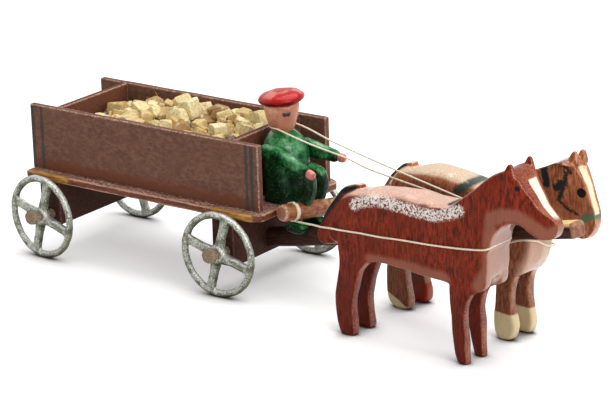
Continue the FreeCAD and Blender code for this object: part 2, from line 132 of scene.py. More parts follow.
class Finish:
    def __init__(self, name):
        self.material = bpy.data.materials.new(name)
        self.material.use_nodes = True
        self.tree = self.material.node_tree
        self.tree.nodes.clear()
        self.shader = self.tree.nodes.new("ShaderNodeBsdfPrincipled")
        output = self.tree.nodes.new("ShaderNodeOutputMaterial")
        self.tree.links.new(self.shader.outputs[0], output.inputs[0])

    def node(self, kind, settings=None, inputs=None, out=0):
        made = self.tree.nodes.new(kind)
        for name, value in (settings or {}).items():
            if name == "stops":
                ramp = made.color_ramp
                while len(ramp.elements) < len(value):
                    ramp.elements.new(0.5)
                for element, (position, color) in zip(ramp.elements, value):
                    element.position = position
                    element.color = color
            else:
                setattr(made, name, value)
        for key, value in (inputs or {}).items():
            self.feed(made.inputs[key], value)
        return Wire(self, made.outputs[out])

    def feed(self, socket, value):
        if isinstance(value, Wire):
            self.tree.links.new(value.socket, socket)
        else:
            socket.default_value = value

    def own(self, name="own"):
        return self.node("ShaderNodeAttribute", {"attribute_name": name}, out="Vector")

    def level(self, name):
        return self.node("ShaderNodeAttribute", {"attribute_name": name}, out="Fac")

    def parts(self, vector):
        made = self.node("ShaderNodeSeparateXYZ", {}, {0: vector})
        outputs = made.socket.node.outputs
        return [Wire(self, outputs[index]) for index in range(3)]

    def stretch(self, vector, x, y, z):
        return self.node("ShaderNodeVectorMath", {"operation": "MULTIPLY"}, {0: vector, 1: (x, y, z)})

    def noise(self, vector, scale, detail=3.0, rough=0.55):
        return self.node("ShaderNodeTexNoise", {},
                         {"Vector": vector, "Scale": scale, "Detail": detail, "Roughness": rough})

    def cells(self, vector, scale, feature="F1", out="Distance"):
        return self.node("ShaderNodeTexVoronoi", {"feature": feature},
                         {"Vector": vector, "Scale": scale}, out=out)

    def blend(self, factor, first, second, kind="MIX"):
        return self.node("ShaderNodeMix", {"data_type": "RGBA", "blend_type": kind},
                         {0: factor, 6: first, 7: second}, out=2)

    def ramp(self, factor, stops):
        return self.node("ShaderNodeValToRGB", {"stops": stops}, {0: factor}, out="Color")

    def upward(self):
        normal = self.node("ShaderNodeNewGeometry", out="Normal")
        return self.parts(normal)[2]

    def relief(self, height, depth, normal=None):
        inputs = {"Height": height, "Distance": depth * mm, "Strength": 1.0}
        if normal is not None:
            inputs["Normal"] = normal
        return self.node("ShaderNodeBump", {}, inputs)

    def surface(self, **sockets):
        for name, value in sockets.items():
            self.feed(self.shader.inputs[name.replace("_", " ")], value)
        return self.material


# ---------------------------------------------------------------- mesh helpers
def smoothLoop(points, steps):
    # a closed curve through the points
    loop = []
    count = len(points)
    for index in range(count):
        a, b, c, d = (np.array(points[(index + shift) % count], float) for shift in (-1, 0, 1, 2))
        for step in range(steps):
            t = step / steps
            loop.append(0.5 * (2 * b + (c - a) * t + (2 * a - 5 * b + 4 * c - d) * t ** 2
                               + (3 * b - a - 3 * c + d) * t ** 3))
    return np.array(loop)


def smoothRun(points, steps):
    # an open curve through the points
    points = [np.array(point, float) for point in points]
    points = [2 * points[0] - points[1]] + points + [2 * points[-1] - points[-2]]
    run = []
    for index in range(1, len(points) - 2):
        a, b, c, d = points[index - 1:index + 3]
        for step in range(steps):
            t = step / steps
            run.append(0.5 * (2 * b + (c - a) * t + (2 * a - 5 * b + 4 * c - d) * t ** 2
                              + (3 * b - a - 3 * c + d) * t ** 3))
    run.append(points[-2])
    return np.array(run)


def inset(loop, distance):
    # moves a closed 2D loop inward along its own normals
    ahead = np.roll(loop, -1, axis=0) - np.roll(loop, 1, axis=0)
    normal = np.stack([-ahead[:, 1], ahead[:, 0]], axis=1)
    normal /= np.linalg.norm(normal, axis=1)[:, None] + 1e-9
    area = 0.5 * np.sum(loop[:, 0] * np.roll(loop[:, 1], -1) - np.roll(loop[:, 0], -1) * loop[:, 1])
    return loop + normal * distance * (1 if area > 0 else -1)


def slab(outline, low, high, rounding, steps=6, layers=4):
    # a plate cut to an outline in X and Z, from low to high in Y, with its edges rounded over
    loop = smoothLoop(outline, steps)
    count = len(loop)
    rings = []
    for layer in range(layers + 1):
        angle = math.pi / 2 * layer / layers
        rings.append((rounding * (1 - math.sin(angle)), low + rounding * (1 - math.cos(angle))))
    rings += [(amount, low + high - y) for amount, y in reversed(rings)]
    verts = []
    for amount, y in rings:
        verts += [(x, y, z) for x, z in inset(loop, amount)]
    faces = []
    for ring in range(len(rings) - 1):
        base = ring * count
        for index in range(count):
            after = (index + 1) % count
            faces.append((base + index, base + after, base + count + after, base + count + index))
    flat = [Vector((x, z, 0)) for x, z in inset(loop, rings[0][0])]
    last = (len(rings) - 1) * count
    for a, b, c in geometry.tessellate_polygon([flat]):
        faces.append((a, b, c))
        faces.append((last + c, last + b, last + a))
    return np.array(verts), faces


def loft(rings, closed=True):
    # skins a list of rings that have the same number of points, and closes both ends
    count = len(rings[0])
    verts = [tuple(point) for ring in rings for point in ring]
    faces = []
    for ring in range(len(rings) - 1):
        base = ring * count
        for index in range(count):
            after = (index + 1) % count
            faces.append((base + index, base + after, base + count + after, base + count + index))
    if closed:
        for base, ring, flip in ((0, rings[0], True), ((len(rings) - 1) * count, rings[-1], False)):
            hub = len(verts)
            verts.append(tuple(np.mean(np.array(ring), axis=0)))
            for index in range(count):
                pair = (base + index, base + (index + 1) % count)
                faces.append((hub, *pair[::-1]) if flip else (hub, *pair))
    return np.array(verts), faces


def softRect(halfWide, halfHigh, radius, steps=4):
    # a rectangle with round corners, as points round its edge
    points = []
    for cornerX, cornerY, start in ((1, 1, 0), (-1, 1, 90), (-1, -1, 180), (1, -1, 270)):
        for step in range(steps + 1):
            angle = math.radians(start + 90 * step / steps)
            points.append((cornerX * (halfWide - radius) + radius * math.cos(angle),
                           cornerY * (halfHigh - radius) + radius * math.sin(angle)))
    return np.array(points)


def plank(length, width, height, edge, stations=24):
    # a board along X round its own middle, every edge rounded over
    ends = [(0, edge), (edge * 0.3, edge * 0.3), (edge, 0)]
    places = [(-length / 2 + along, tuck) for along, tuck in ends]
    inner = np.linspace(-length / 2 + edge * 2, length / 2 - edge * 2, stations)
    places += [(x, 0) for x in inner]
    places += [(length / 2 - along, tuck) for along, tuck in reversed(ends)]
    rings = []
    for x, tuck in places:
        ring = softRect(width / 2 - tuck, height / 2 - tuck, max(edge - tuck * 0.6, edge * 0.3))
        rings.append([(x, y, z) for y, z in ring])
    return loft(rings)


def rod(profile, around=40):
    # a turned shape along X, from (place, radius) pairs
    rings = []
    for x, radius in profile:
        turns = np.linspace(0, 2 * math.pi, around, endpoint=False)
        rings.append([(x, radius * math.cos(turn), radius * math.sin(turn)) for turn in turns])
    return loft(rings)


def tube(path, radius, around=10, ends=True):
    # a round tube along a dense path
    path = np.array(path, float)
    side = np.array([0.0, 0.0, 1.0])
    rings = []
    for index, point in enumerate(path):
        ahead = path[min(index + 1, len(path) - 1)] - path[max(index - 1, 0)]
        ahead /= np.linalg.norm(ahead) + 1e-12
        side = side - ahead * side.dot(ahead)
        if np.linalg.norm(side) < 1e-6:
            side = np.cross(ahead, [0.0, 1.0, 0.3])
        side /= np.linalg.norm(side)
        up = np.cross(ahead, side)
        size = radius[index] if hasattr(radius, "__len__") else radius
        turns = np.linspace(0, 2 * math.pi, around, endpoint=False)
        rings.append([point + size * (math.cos(turn) * side + math.sin(turn) * up) for turn in turns])
    return loft(rings, closed=ends)


def together(shapes):
    verts, faces, count = [], [], 0
    for someVerts, someFaces in shapes:
        verts.append(np.array(someVerts))
        faces += [tuple(index + count for index in face) for face in someFaces]
        count += len(someVerts)
    return np.concatenate(verts), faces


def swung(verts, matrix):
    turn = np.array(matrix.to_3x3())
    return np.array(verts) @ turn.T + np.array(matrix.to_translation())


def melt(shapes, voxel, polish):
    # joins closed shapes into one skin, the way a carved or cast piece is one solid
    verts, faces = together(shapes)
    mesh = bpy.data.meshes.new("melt")
    mesh.from_pydata([tuple(vert) for vert in verts], [], faces)
    made = bpy.data.objects.new("melt", mesh)
    bpy.context.scene.collection.objects.link(made)
    remesh = made.modifiers.new("remesh", "REMESH")
    remesh.mode = "VOXEL"
    remesh.voxel_size = voxel
    smooth = made.modifiers.new("smooth", "SMOOTH")
    smooth.factor = 0.5
    smooth.iterations = polish
    shown = made.evaluated_get(bpy.context.evaluated_depsgraph_get())
    result = bpy.data.meshes.new_from_object(shown)
    points = np.empty(len(result.vertices) * 3)
    result.vertices.foreach_get("co", points)
    skin = [tuple(polygon.vertices) for polygon in result.polygons]
    bpy.data.objects.remove(made)
    bpy.data.meshes.remove(mesh)
    bpy.data.meshes.remove(result)
    return points.reshape(-1, 3), skin


def wobble(verts, scale, depth, seed=0.0):
    # the small unevenness of hand work
    shift = Vector((seed, seed * 0.7, seed * 0.3))
    return np.array([np.array(vert) + depth * np.array(noise.noise_vector(Vector(vert) * scale + shift))
                     for vert in verts])


def smoothSteps(values, low, high):
    part = np.clip((values - low) / (high - low), 0, 1)
    return part * part * (3 - 2 * part)


def addPiece(name, shape, finish, body="root", matrix=None, replaces=(), marks=None, own=None):
    # makes the object; the shape is in millimetres, and own keeps its places before it was turned
    verts, faces = shape
    verts = np.array(verts, float)
    placed = swung(verts, matrix) if matrix is not None else verts
    mesh = bpy.data.meshes.new(name)
    mesh.from_pydata([tuple(vert) for vert in (placed + middle) * mm], [], faces)
    mesh.validate()
    mesh.polygons.foreach_set("use_smooth", [True] * len(mesh.polygons))
    layer = mesh.attributes.new("own", "FLOAT_VECTOR", "POINT")
    layer.data.foreach_set("vector", (verts if own is None else own).astype(np.float32).ravel())
    for mark, values in (marks or {}).items():
        layer = mesh.attributes.new(mark, "FLOAT", "POINT")
        layer.data.foreach_set("value", np.asarray(values, np.float32))
    mesh.materials.append(finish)
    made = bpy.data.objects.new(name, mesh)
    bpy.context.scene.collection.objects.link(made)
    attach(made, body)
    if replaces:
        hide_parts(*replaces)
    return made


def sharpen(made, angle=35):
    made.data.set_sharp_from_angle(angle=math.radians(angle))


# ---------------------------------------------------------------- wood
def edgeGap(finish, place, halves):
    # how far a point on a box lies from the nearest edge of the box
    gaps = [half - abs(part) for half, part in zip(halves, finish.parts(place))]
    first, second, third = gaps
    return first.least(second).most(first.most(second).least(third))


def boardFinish(name, halves, face, worn, low=None, bands=(), grain=1.0, wear=0.45, gloss=0.6, seed=0.0):
    # stained board: long grain, rubbed edges, and painted end bands where the board has them
    finish = Finish(name)
    own = finish.own()
    x, y, z = finish.parts(own)
    shifted = finish.node("ShaderNodeVectorMath", {"operation": "ADD"}, {0: own, 1: (seed, seed, seed)})
    along = finish.stretch(shifted, 0.3, 1, 0.5)
    grainLevel = finish.noise(along, 2.2 * grain, 6, 0.7)
    fine = finish.noise(finish.stretch(shifted, 1, 1, 0.5), 4.2, 4, 0.75)
    blotch = finish.noise(shifted, 0.12, 3, 0.5)
    dark = tuple(level * 0.7 for level in face[:3]) + (1.0,)
    light = tuple(min(level * 1.3 + 0.01, 1) for level in face[:3]) + (1.0,)
    color = finish.blend(grainLevel.rise(0.34, 0.68), dark, light)
    color = finish.blend(blotch.rise(0.35, 0.7) * 0.45, color, face)
    color = finish.blend(fine.rise(0.62, 0.75) * 0.35, color, dark)
    if low is not None:
        lowBand = (z + halves[2] + (grainLevel - 0.5) * 3.0).rise(4.6, 2.6)
        color = finish.blend(lowBand * 0.75, color, low)
    for start, width, paint, outer in bands:
        edge = (fine - 0.5) * 0.5 + (finish.noise(finish.stretch(shifted, 1, 1, 0.18), 1.4, 3) - 0.5) * 1.3
        gap = abs(x - start + edge)
        color = finish.blend(gap.rise(width, width * 0.55) * (y * outer).rise(0, 0.3) * 0.85, color, paint)
    rub = edgeGap(finish, own, halves) + (finish.noise(shifted, 1.3, 4, 0.6) - 0.5) * 0.9
    edge = rub.rise(wear, wear * 0.3)
    flecks = finish.noise(finish.stretch(shifted, 0.5, 1, 1), 2.4, 4, 0.7)
    wornColor = finish.ramp(flecks, [(0.36, shade(112, 48, 34)), (0.5, tuple(level * 0.6 for level in worn[:3]) + (1.0,)),
                                     (0.62, worn)])
    color = finish.blend(edge, color, wornColor)
    scuff = finish.noise(shifted, 0.35, 5, 0.75)
    color = finish.blend(scuff.rise(0.7, 0.76) * 0.6, color, worn)
    height = grainLevel * 0.5 + fine * 0.35 - edge * 0.2
    return finish.surface(Base_Color=color, Roughness=(fine * 0.2 + gloss).least(0.95), Specular_IOR_Level=0.15,
                          Normal=finish.relief(height, 0.10))


wood = {
    "face": shade(108, 74, 58),
    "faceLow": shade(108, 60, 40),
    "edge": shade(196, 158, 140),
    "slate": shade(60, 60, 58),
    "dark": shade(70, 42, 32),
    "floor": shade(104, 62, 46),
    "bare": shade(206, 168, 96),
}


def board(name, node, finishSettings, body="root", edge=0.32, bend=0.10, seed=1.0):
    low, high = span(node)
    size = high - low
    shape = plank(size[0], size[1], size[2], edge)
    verts = wobble(shape[0], 0.09, bend, seed)
    centre = (low + high) / 2
    finish = boardFinish(name, tuple(size / 2), **finishSettings)
    made = addPiece(name, (verts, shape[1]), finish, body, Matrix.Translation(Vector(centre)),
                    replaces=(node,))
    sharpen(made)
    return made


bandPlaces = {"rearOuter": -39.3, "rearInner": -36.1, "frontInner": 36.2, "frontMiddle": 38.0}
bandWidths = {"rearOuter": 0.75, "rearInner": 0.75, "frontInner": 0.7, "frontMiddle": 0.85}
for side in ("right", "left"):
    outward = -1.0 if side == "right" else 1.0
    sideBands = [(place, bandWidths[key], wood["slate"], outward) for key, place in bandPlaces.items()]
    board(side + "Board", side + "_side_board",
          {"face": wood["face"], "worn": wood["edge"], "low": wood["faceLow"], "bands": sideBands,
           "seed": 3.0 if side == "right" else 11.0}, seed=2.0)
for end, seed in (("rear", 5.0), ("front", 7.0)):
    board(end + "EndBoard", end + "_end_board",
          {"face": shade(96, 54, 36), "worn": wood["edge"], "seed": seed}, seed=seed)
print("box boards done")


def floorFinish(halves):
    finish = Finish("floorWood")
    own = finish.own()
    x, y, z = finish.parts(own)
    along = finish.stretch(own, 0.1, 1, 1)
    grainLevel = finish.noise(along, 2.4, 6, 0.6)
    spots = finish.noise(own, 0.9, 4, 0.6)
    color = finish.blend(grainLevel.rise(0.35, 0.65), shade(74, 38, 26), shade(128, 70, 50))
    # painted highlight: the top face of the board is lightened in patches, up to a near-white
    top = z.rise(halves[2] - 0.5, halves[2] - 0.15)
    ledgeHighlight = top * (spots + 0.1).rise(0.3, 0.5)
    flecks = finish.noise(finish.stretch(own, 0.6, 1, 1), 1.8, 4, 0.7)
    color = finish.blend(ledgeHighlight * 0.8, color, finish.ramp(flecks, [(0.4, shade(112, 62, 48)), (0.52, shade(158, 116, 98)),
                                                                  (0.64, shade(226, 206, 190))]))
    gap = edgeGap(finish, own, halves) + (spots - 0.5) * 0.8
    color = finish.blend(gap.rise(0.5, 0.2), color, shade(188, 142, 122))
    glued = finish.noise(own, 0.55, 3, 0.6)
    for place, reach in ((-32.5, 8.0), (31.5, 8.5)):
        near = abs(x - place) + (glued - 0.5) * 8
        patch = near.rise(reach, reach - 3.0) * y.rise(-halves[1] + 1.4, -halves[1] + 0.6)
        amber = finish.blend(grainLevel.rise(0.4, 0.6), shade(196, 152, 74), shade(150, 96, 40))
        color = finish.blend(patch * 0.9, color, amber)
    return finish.surface(Base_Color=color, Roughness=grainLevel * 0.3 + 0.42, Specular_IOR_Level=0.2,
                          Normal=finish.relief(grainLevel * 0.6 + spots * 0.4, 0.12))


def addFloor():
    low, high = span("floor_board")
    size = high - low
    verts, faces = plank(size[0], size[1], size[2], 0.45, stations=40)
    # the corners have been knocked round
    back = np.clip(verts[:, 0] - (size[0] / 2 - 3.6), 0, 3.4)
    verts[:, 1] *= 1 - (3.6 - np.sqrt(3.6 ** 2 - back ** 2)) / (size[1] / 2)
    verts = wobble(verts, 0.12, 0.16, 4.0)
    made = addPiece("floorBoard", (verts, faces), floorFinish(tuple(size / 2)),
                    matrix=Matrix.Translation(Vector((low + high) / 2)), replaces=("floor_board",))
    sharpen(made)


addFloor()
for end in ("rear", "front"):
    board(end + "Bolster", end + "_bolster",
          {"face": wood["dark"], "worn": shade(128, 96, 88), "gloss": 0.7, "wear": 0.5,
           "seed": 13.0 if end == "rear" else 17.0}, edge=0.5, bend=0.2, seed=9.0)
print("floor and bolsters done")


# ---------------------------------------------------------------- wheels
castWheel = {"radius": 12.0, "width": 1.9, "rim": 2.0, "hub": 2.7, "hubLength": 2.8, "spokeLead": -16.0}


def metalFinish():
    finish = Finish("castMetal")
    own = finish.own()
    broad = finish.noise(own, 0.35, 4, 0.6)
    fine = finish.noise(own, 2.6, 5, 0.7)
    pits = finish.cells(own, 2.2)
    # painted highlight: faces that point up are pushed up the ramp towards a near-white silver, on top of the real tone
    # that the noise gives
    light = finish.upward() * 0.3 + (broad - 0.5) * 0.8 + fine
    color = finish.ramp(light, [(0.3, shade(60, 58, 42)), (0.46, shade(118, 120, 102)), (0.56, shade(172, 176, 166)),
                                (0.68, shade(244, 246, 242))])
    color = finish.blend(broad.rise(0.48, 0.62) * 0.5, color, shade(104, 100, 66))
    color = finish.blend((pits + (fine - 0.5) * 0.3).rise(0.16, 0.05) * 0.6, color, shade(44, 42, 34))
    return finish.surface(Base_Color=color, Roughness=fine * 0.3 + 0.26, Metallic=(0.5 + broad * 0.4).least(0.85),
                          Normal=finish.relief(fine * 0.7 - pits.rise(0.2, 0.0) * 0.5, 0.16))


def wheelShape():
    outer, deep = castWheel["radius"], castWheel["rim"]
    half = castWheel["width"] / 2
    inner = outer - deep
    section = [(outer, -half + 0.5), (outer - 0.35, -half + 0.1), (outer - 0.9, -half), (inner + 0.6, -half + 0.15),
               (inner + 0.1, -half + 0.6), (inner, 0), (inner + 0.1, half - 0.6), (inner + 0.6, half - 0.15),
               (outer - 0.9, half), (outer - 0.35, half - 0.1), (outer, half - 0.5)]
    around = 96
    verts, faces = [], []
    for turn in np.linspace(0, 2 * math.pi, around, endpoint=False):
        verts += [(radius * math.cos(turn), y, radius * math.sin(turn)) for radius, y in section]
    count = len(section)
    for ring in range(around):
        for index in range(count):
            after = (index + 1) % count
            ahead = (ring + 1) % around
            faces.append((ring * count + index, ring * count + after, ahead * count + after, ahead * count + index))
    shapes = [(np.array(verts), faces)]
    for turn in range(4):
        angle = math.radians(castWheel["spokeLead"] + 90 * turn)
        rings = []
        for reach, wide, thick in ((0, 1.6, 1.0), (3, 1.4, 0.85), (6, 1.25, 0.75), (8.6, 1.25, 0.75), (10.8, 1.5, 0.8)):
            ring = softRect(thick, wide, 0.4)
            rings.append([(reach, y, z) for y, z in ring])
        spokeVerts, spokeFaces = loft(rings)
        shapes.append((swung(spokeVerts, Matrix.Rotation(-angle, 4, "Y")), spokeFaces))
    hub = castWheel["hubLength"] / 2
    barrel = rod([(-hub, 2.1), (-hub + 0.3, 2.5), (-0.4, castWheel["hub"]), (0.4, castWheel["hub"]),
                  (hub - 0.3, 2.4), (hub, 2.0)])
    shapes.append((swung(barrel[0], Matrix.Rotation(math.pi / 2, 4, "Z")), barrel[1]))
    verts, faces = melt(shapes, 0.24, 4)
    return wobble(verts, 0.5, 0.10, 3.0), faces


def pegFinish():
    finish = Finish("pegWood")
    own = finish.own()
    x, y, z = finish.parts(own)
    rings = finish.noise(finish.stretch(own, 0.4, 1, 1), 2.4, 5, 0.65)
    color = finish.ramp(rings, [(0.3, shade(84, 66, 50)), (0.52, shade(136, 116, 92)), (0.75, shade(178, 160, 136))])
    return finish.surface(Base_Color=color, Roughness=0.75, Normal=finish.relief(rings, 0.2))


wheelPrint = wheelShape()
castMetal = metalFinish()
pegWood = pegFinish()
pegRod = {"radius": 1.3, "headRadius": 2.1, "headStart": 2.4, "headLength": 1.8, "inward": 9.0}
for name in wheelNames:
    joint = joints[name + "_wheel_spin"]
    side = -1 if name.startswith("right") else 1
    toe = math.atan2(-joint["axis"][0], joint["axis"][1])
    hubPlace = Vector(axlePoints[name] - middle)
    seat = Matrix.Translation(hubPlace) @ Matrix.Rotation(toe, 4, "Z")
    flipped = seat @ Matrix.Rotation(math.pi if side > 0 else 0, 4, "Z")
    addPiece(name.replace("_r", "R").replace("_f", "F") + "Wheel", wheelPrint, castMetal,
             name + "_wheel", flipped, replaces=(name + "_wheel",))
    head, length = pegRod["headStart"], pegRod["headLength"]
    shank, wide = pegRod["radius"], pegRod["headRadius"]
    peg = rod([(-pegRod["inward"], shank), (head - 0.1, shank), (head, wide * 0.9), (head + 0.25, wide),
               (head + length - 0.35, wide * 0.98), (head + length, wide * 0.86)], 32)
    peg = (wobble(peg[0], 0.8, 0.12, side + toe), peg[1])
    made = addPiece(name.replace("_r", "R").replace("_f", "F") + "Peg", peg, pegWood, "root",
                    seat @ Matrix.Translation((0, -side * 4, 0)) @ Matrix.Rotation(side * math.radians(5.5), 4, "X")
                    @ Matrix.Translation((0, side * 4.6, 0)) @ Matrix.Rotation(side * math.pi / 2, 4, "Z"),
                    replaces=(name + "_peg",))
    sharpen(made)
print("wheels done")


# ---------------------------------------------------------------- pole and swingletree
poleSizes = {"width": 4.8, "length": 115.0, "rise": 13.2, "swing": -9.4, "root": (33.5, 0.0, 11.4), "tenon": 1.0}
poleMatrix = (Matrix.Translation(Vector(poleSizes["root"]))
              @ Matrix.Rotation(math.radians(poleSizes["swing"]), 4, "Z")
              @ Matrix.Rotation(-math.radians(poleSizes["rise"]), 4, "Y"))


def poleFinish():
    finish = Finish("poleWood")
    own = finish.own()
    x, y, z = finish.parts(own)
    half = poleSizes["length"] / 2
    grainLevel = finish.noise(finish.stretch(own, 0.12, 1, 1), 2.4, 6, 0.65)
    spots = finish.noise(own, 0.7, 4, 0.6)
    color = finish.blend(grainLevel.rise(0.35, 0.68), shade(36, 20, 12), shade(78, 44, 28))
    bare = finish.blend(grainLevel.rise(0.4, 0.6), shade(252, 226, 166), shade(228, 186, 116))
    tipTop = z.rise(1.2, 1.9) * (x + spots * 4).rise(half - 12, half - 8)
    color = finish.blend(tipTop, color, bare)
    end = (x + (spots - 0.5) * 0.8).rise(half - 0.9, half - 0.4)
    color = finish.blend(end * 0.9, color, finish.blend(spots.rise(0.4, 0.6), shade(160, 112, 92), shade(122, 78, 60)))
    return finish.surface(Base_Color=color, Roughness=grainLevel * 0.3 + 0.4, Specular_IOR_Level=0.2,
                          Normal=finish.relief(grainLevel, 0.14))


def addPole():
    half = poleSizes["length"] / 2 + poleSizes["tenon"] / 2
    shape = plank(2 * half, poleSizes["width"], poleSizes["width"], 0.9, stations=60)
    verts = wobble(shape[0], 0.1, 0.22, 6.0)
    # whittled thinner underneath towards the tip
    verts[:, 2] *= 1 - 0.3 * smoothSteps(verts[:, 0], 5, 30) * (verts[:, 2] < 0)
    shift = Matrix.Translation(Vector((half - poleSizes["tenon"], 0, 0)))
    made = addPiece("pole", (verts, shape[1]), poleFinish(), matrix=poleMatrix @ shift,
                    replaces=("pole",))
    sharpen(made, 50)


addPole()
barSizes = {"radius": 2.35, "length": 29.0, "near": (48.1, -13.9, 24.5), "swing": -11.0, "tilt": -7.4}
barMatrix = (Matrix.Translation(Vector(barSizes["near"])) @ Matrix.Rotation(math.radians(barSizes["swing"]), 4, "Z")
             @ Matrix.Rotation(math.radians(barSizes["tilt"]), 4, "X") @ Matrix.Rotation(math.pi / 2, 4, "Z"))


def barFinish():
    finish = Finish("turnedWood")
    own = finish.own()
    x, y, z = finish.parts(own)
    grainLevel = finish.noise(finish.stretch(own, 0.16, 1, 1), 2.2, 6, 0.65)
    spots = finish.noise(own, 0.55, 4, 0.6)
    fine = finish.noise(own, 2.4, 4, 0.7)
    color = finish.blend(grainLevel.rise(0.36, 0.66), shade(112, 52, 30), shade(166, 96, 58))
    mixed = spots + (fine - 0.5) * 0.4
    color = finish.blend(mixed.rise(0.46, 0.66) * 0.6, color, shade(178, 132, 72))
    color = finish.blend((mixed * x.rise(6, 16)).rise(0.4, 0.6) * 0.6, color, shade(190, 158, 104))
    color = finish.blend(mixed.rise(0.4, 0.3) * 0.6, color, shade(96, 30, 18))
    rim = x.rise(0.9, 0.2)
    color = finish.blend(rim * 0.9, color, finish.blend(fine.rise(0.42, 0.58), shade(214, 176, 152), shade(150, 100, 76)))
    core = (y * y + z * z).rise(3.4, 2.2) * x.rise(0.5, 0.2)
    color = finish.blend(core, color, finish.blend(fine.rise(0.4, 0.6), shade(160, 106, 66), shade(120, 66, 40)))
    return finish.surface(Base_Color=color, Roughness=spots * 0.25 + 0.3, Normal=finish.relief(grainLevel * 0.6 + fine * 0.4, 0.16))


def addBar():
    radius, length = barSizes["radius"], barSizes["length"]
    profile = [(0.0, radius * 0.72), (0.25, radius * 0.9), (0.9, radius)]
    profile += [(x, radius * (1 + 0.02 * math.sin(x))) for x in np.linspace(2, length - 2, 24)]
    profile += [(length - 0.9, radius), (length - 0.25, radius * 0.9), (length, radius * 0.72)]
    shape = rod(profile, 36)
    made = addPiece("swingletree", (wobble(shape[0], 0.3, 0.16, 2.0), shape[1]), barFinish(),
                    matrix=barMatrix, replaces=("swingletree",))
    sharpen(made, 60)


addBar()
print("pole and swingletree done")


# ---------------------------------------------------------------- the heap in the box
heap = {"lumps": 190, "crumbs": 460, "seed": 41, "greys": 20}


def crumbFinish():
    finish = Finish("oreCrumbs")
    own = finish.own()
    tone = finish.level("tone")
    fine = finish.noise(own, 1.6, 4, 0.6)
    vein = finish.noise(own, 0.5, 3, 0.55)
    pale = finish.ramp(tone, [(0.0, shade(232, 220, 170)), (0.4, shade(216, 192, 130)), (0.7, shade(190, 158, 98)),
                              (0.86, shade(150, 112, 70)), (0.93, shade(150, 146, 140)), (1.0, shade(112, 110, 108))])
    color = finish.blend(fine.rise(0.42, 0.66) * 0.6, pale, shade(178, 142, 84))
    color = finish.blend(vein.rise(0.56, 0.7) * 0.5, color, shade(240, 232, 204))
    return finish.surface(Base_Color=color, Roughness=fine * 0.3 + 0.45, Normal=finish.relief(fine, 0.25))


def crumb(rng, size):
    # one broken lump: a cube with shaken corners and chipped edges
    points = []
    stretch = [rng.uniform(0.75, 1.1) for axis in range(3)]
    for x in (-1, 1):
        for y in (-1, 1):
            for z in (-1, 1):
                for axis in range(3):
                    chip = [1.0, 1.0, 1.0]
                    chip[axis] = rng.uniform(0.4, 0.75)
                    corner = [sign * part * size * wide * rng.uniform(0.82, 1.05)
                              for sign, part, wide in zip((x, y, z), chip, stretch)]
                    points.append(corner)
    return points


def hull(points):
    import bmesh
    work = bmesh.new()
    for point in points:
        work.verts.new(point)
    bmesh.ops.convex_hull(work, input=work.verts)
    loose = [vert for vert in work.verts if not vert.link_faces]
    bmesh.ops.delete(work, geom=loose, context="VERTS")
    bmesh.ops.bevel(work, geom=work.edges[:], offset=0.13, segments=1, affect="EDGES")
    work.verts.index_update()
    verts = np.array([vert.co[:] for vert in work.verts])
    faces = [tuple(vert.index for vert in face.verts) for face in work.faces]
    work.free()
    return verts, faces


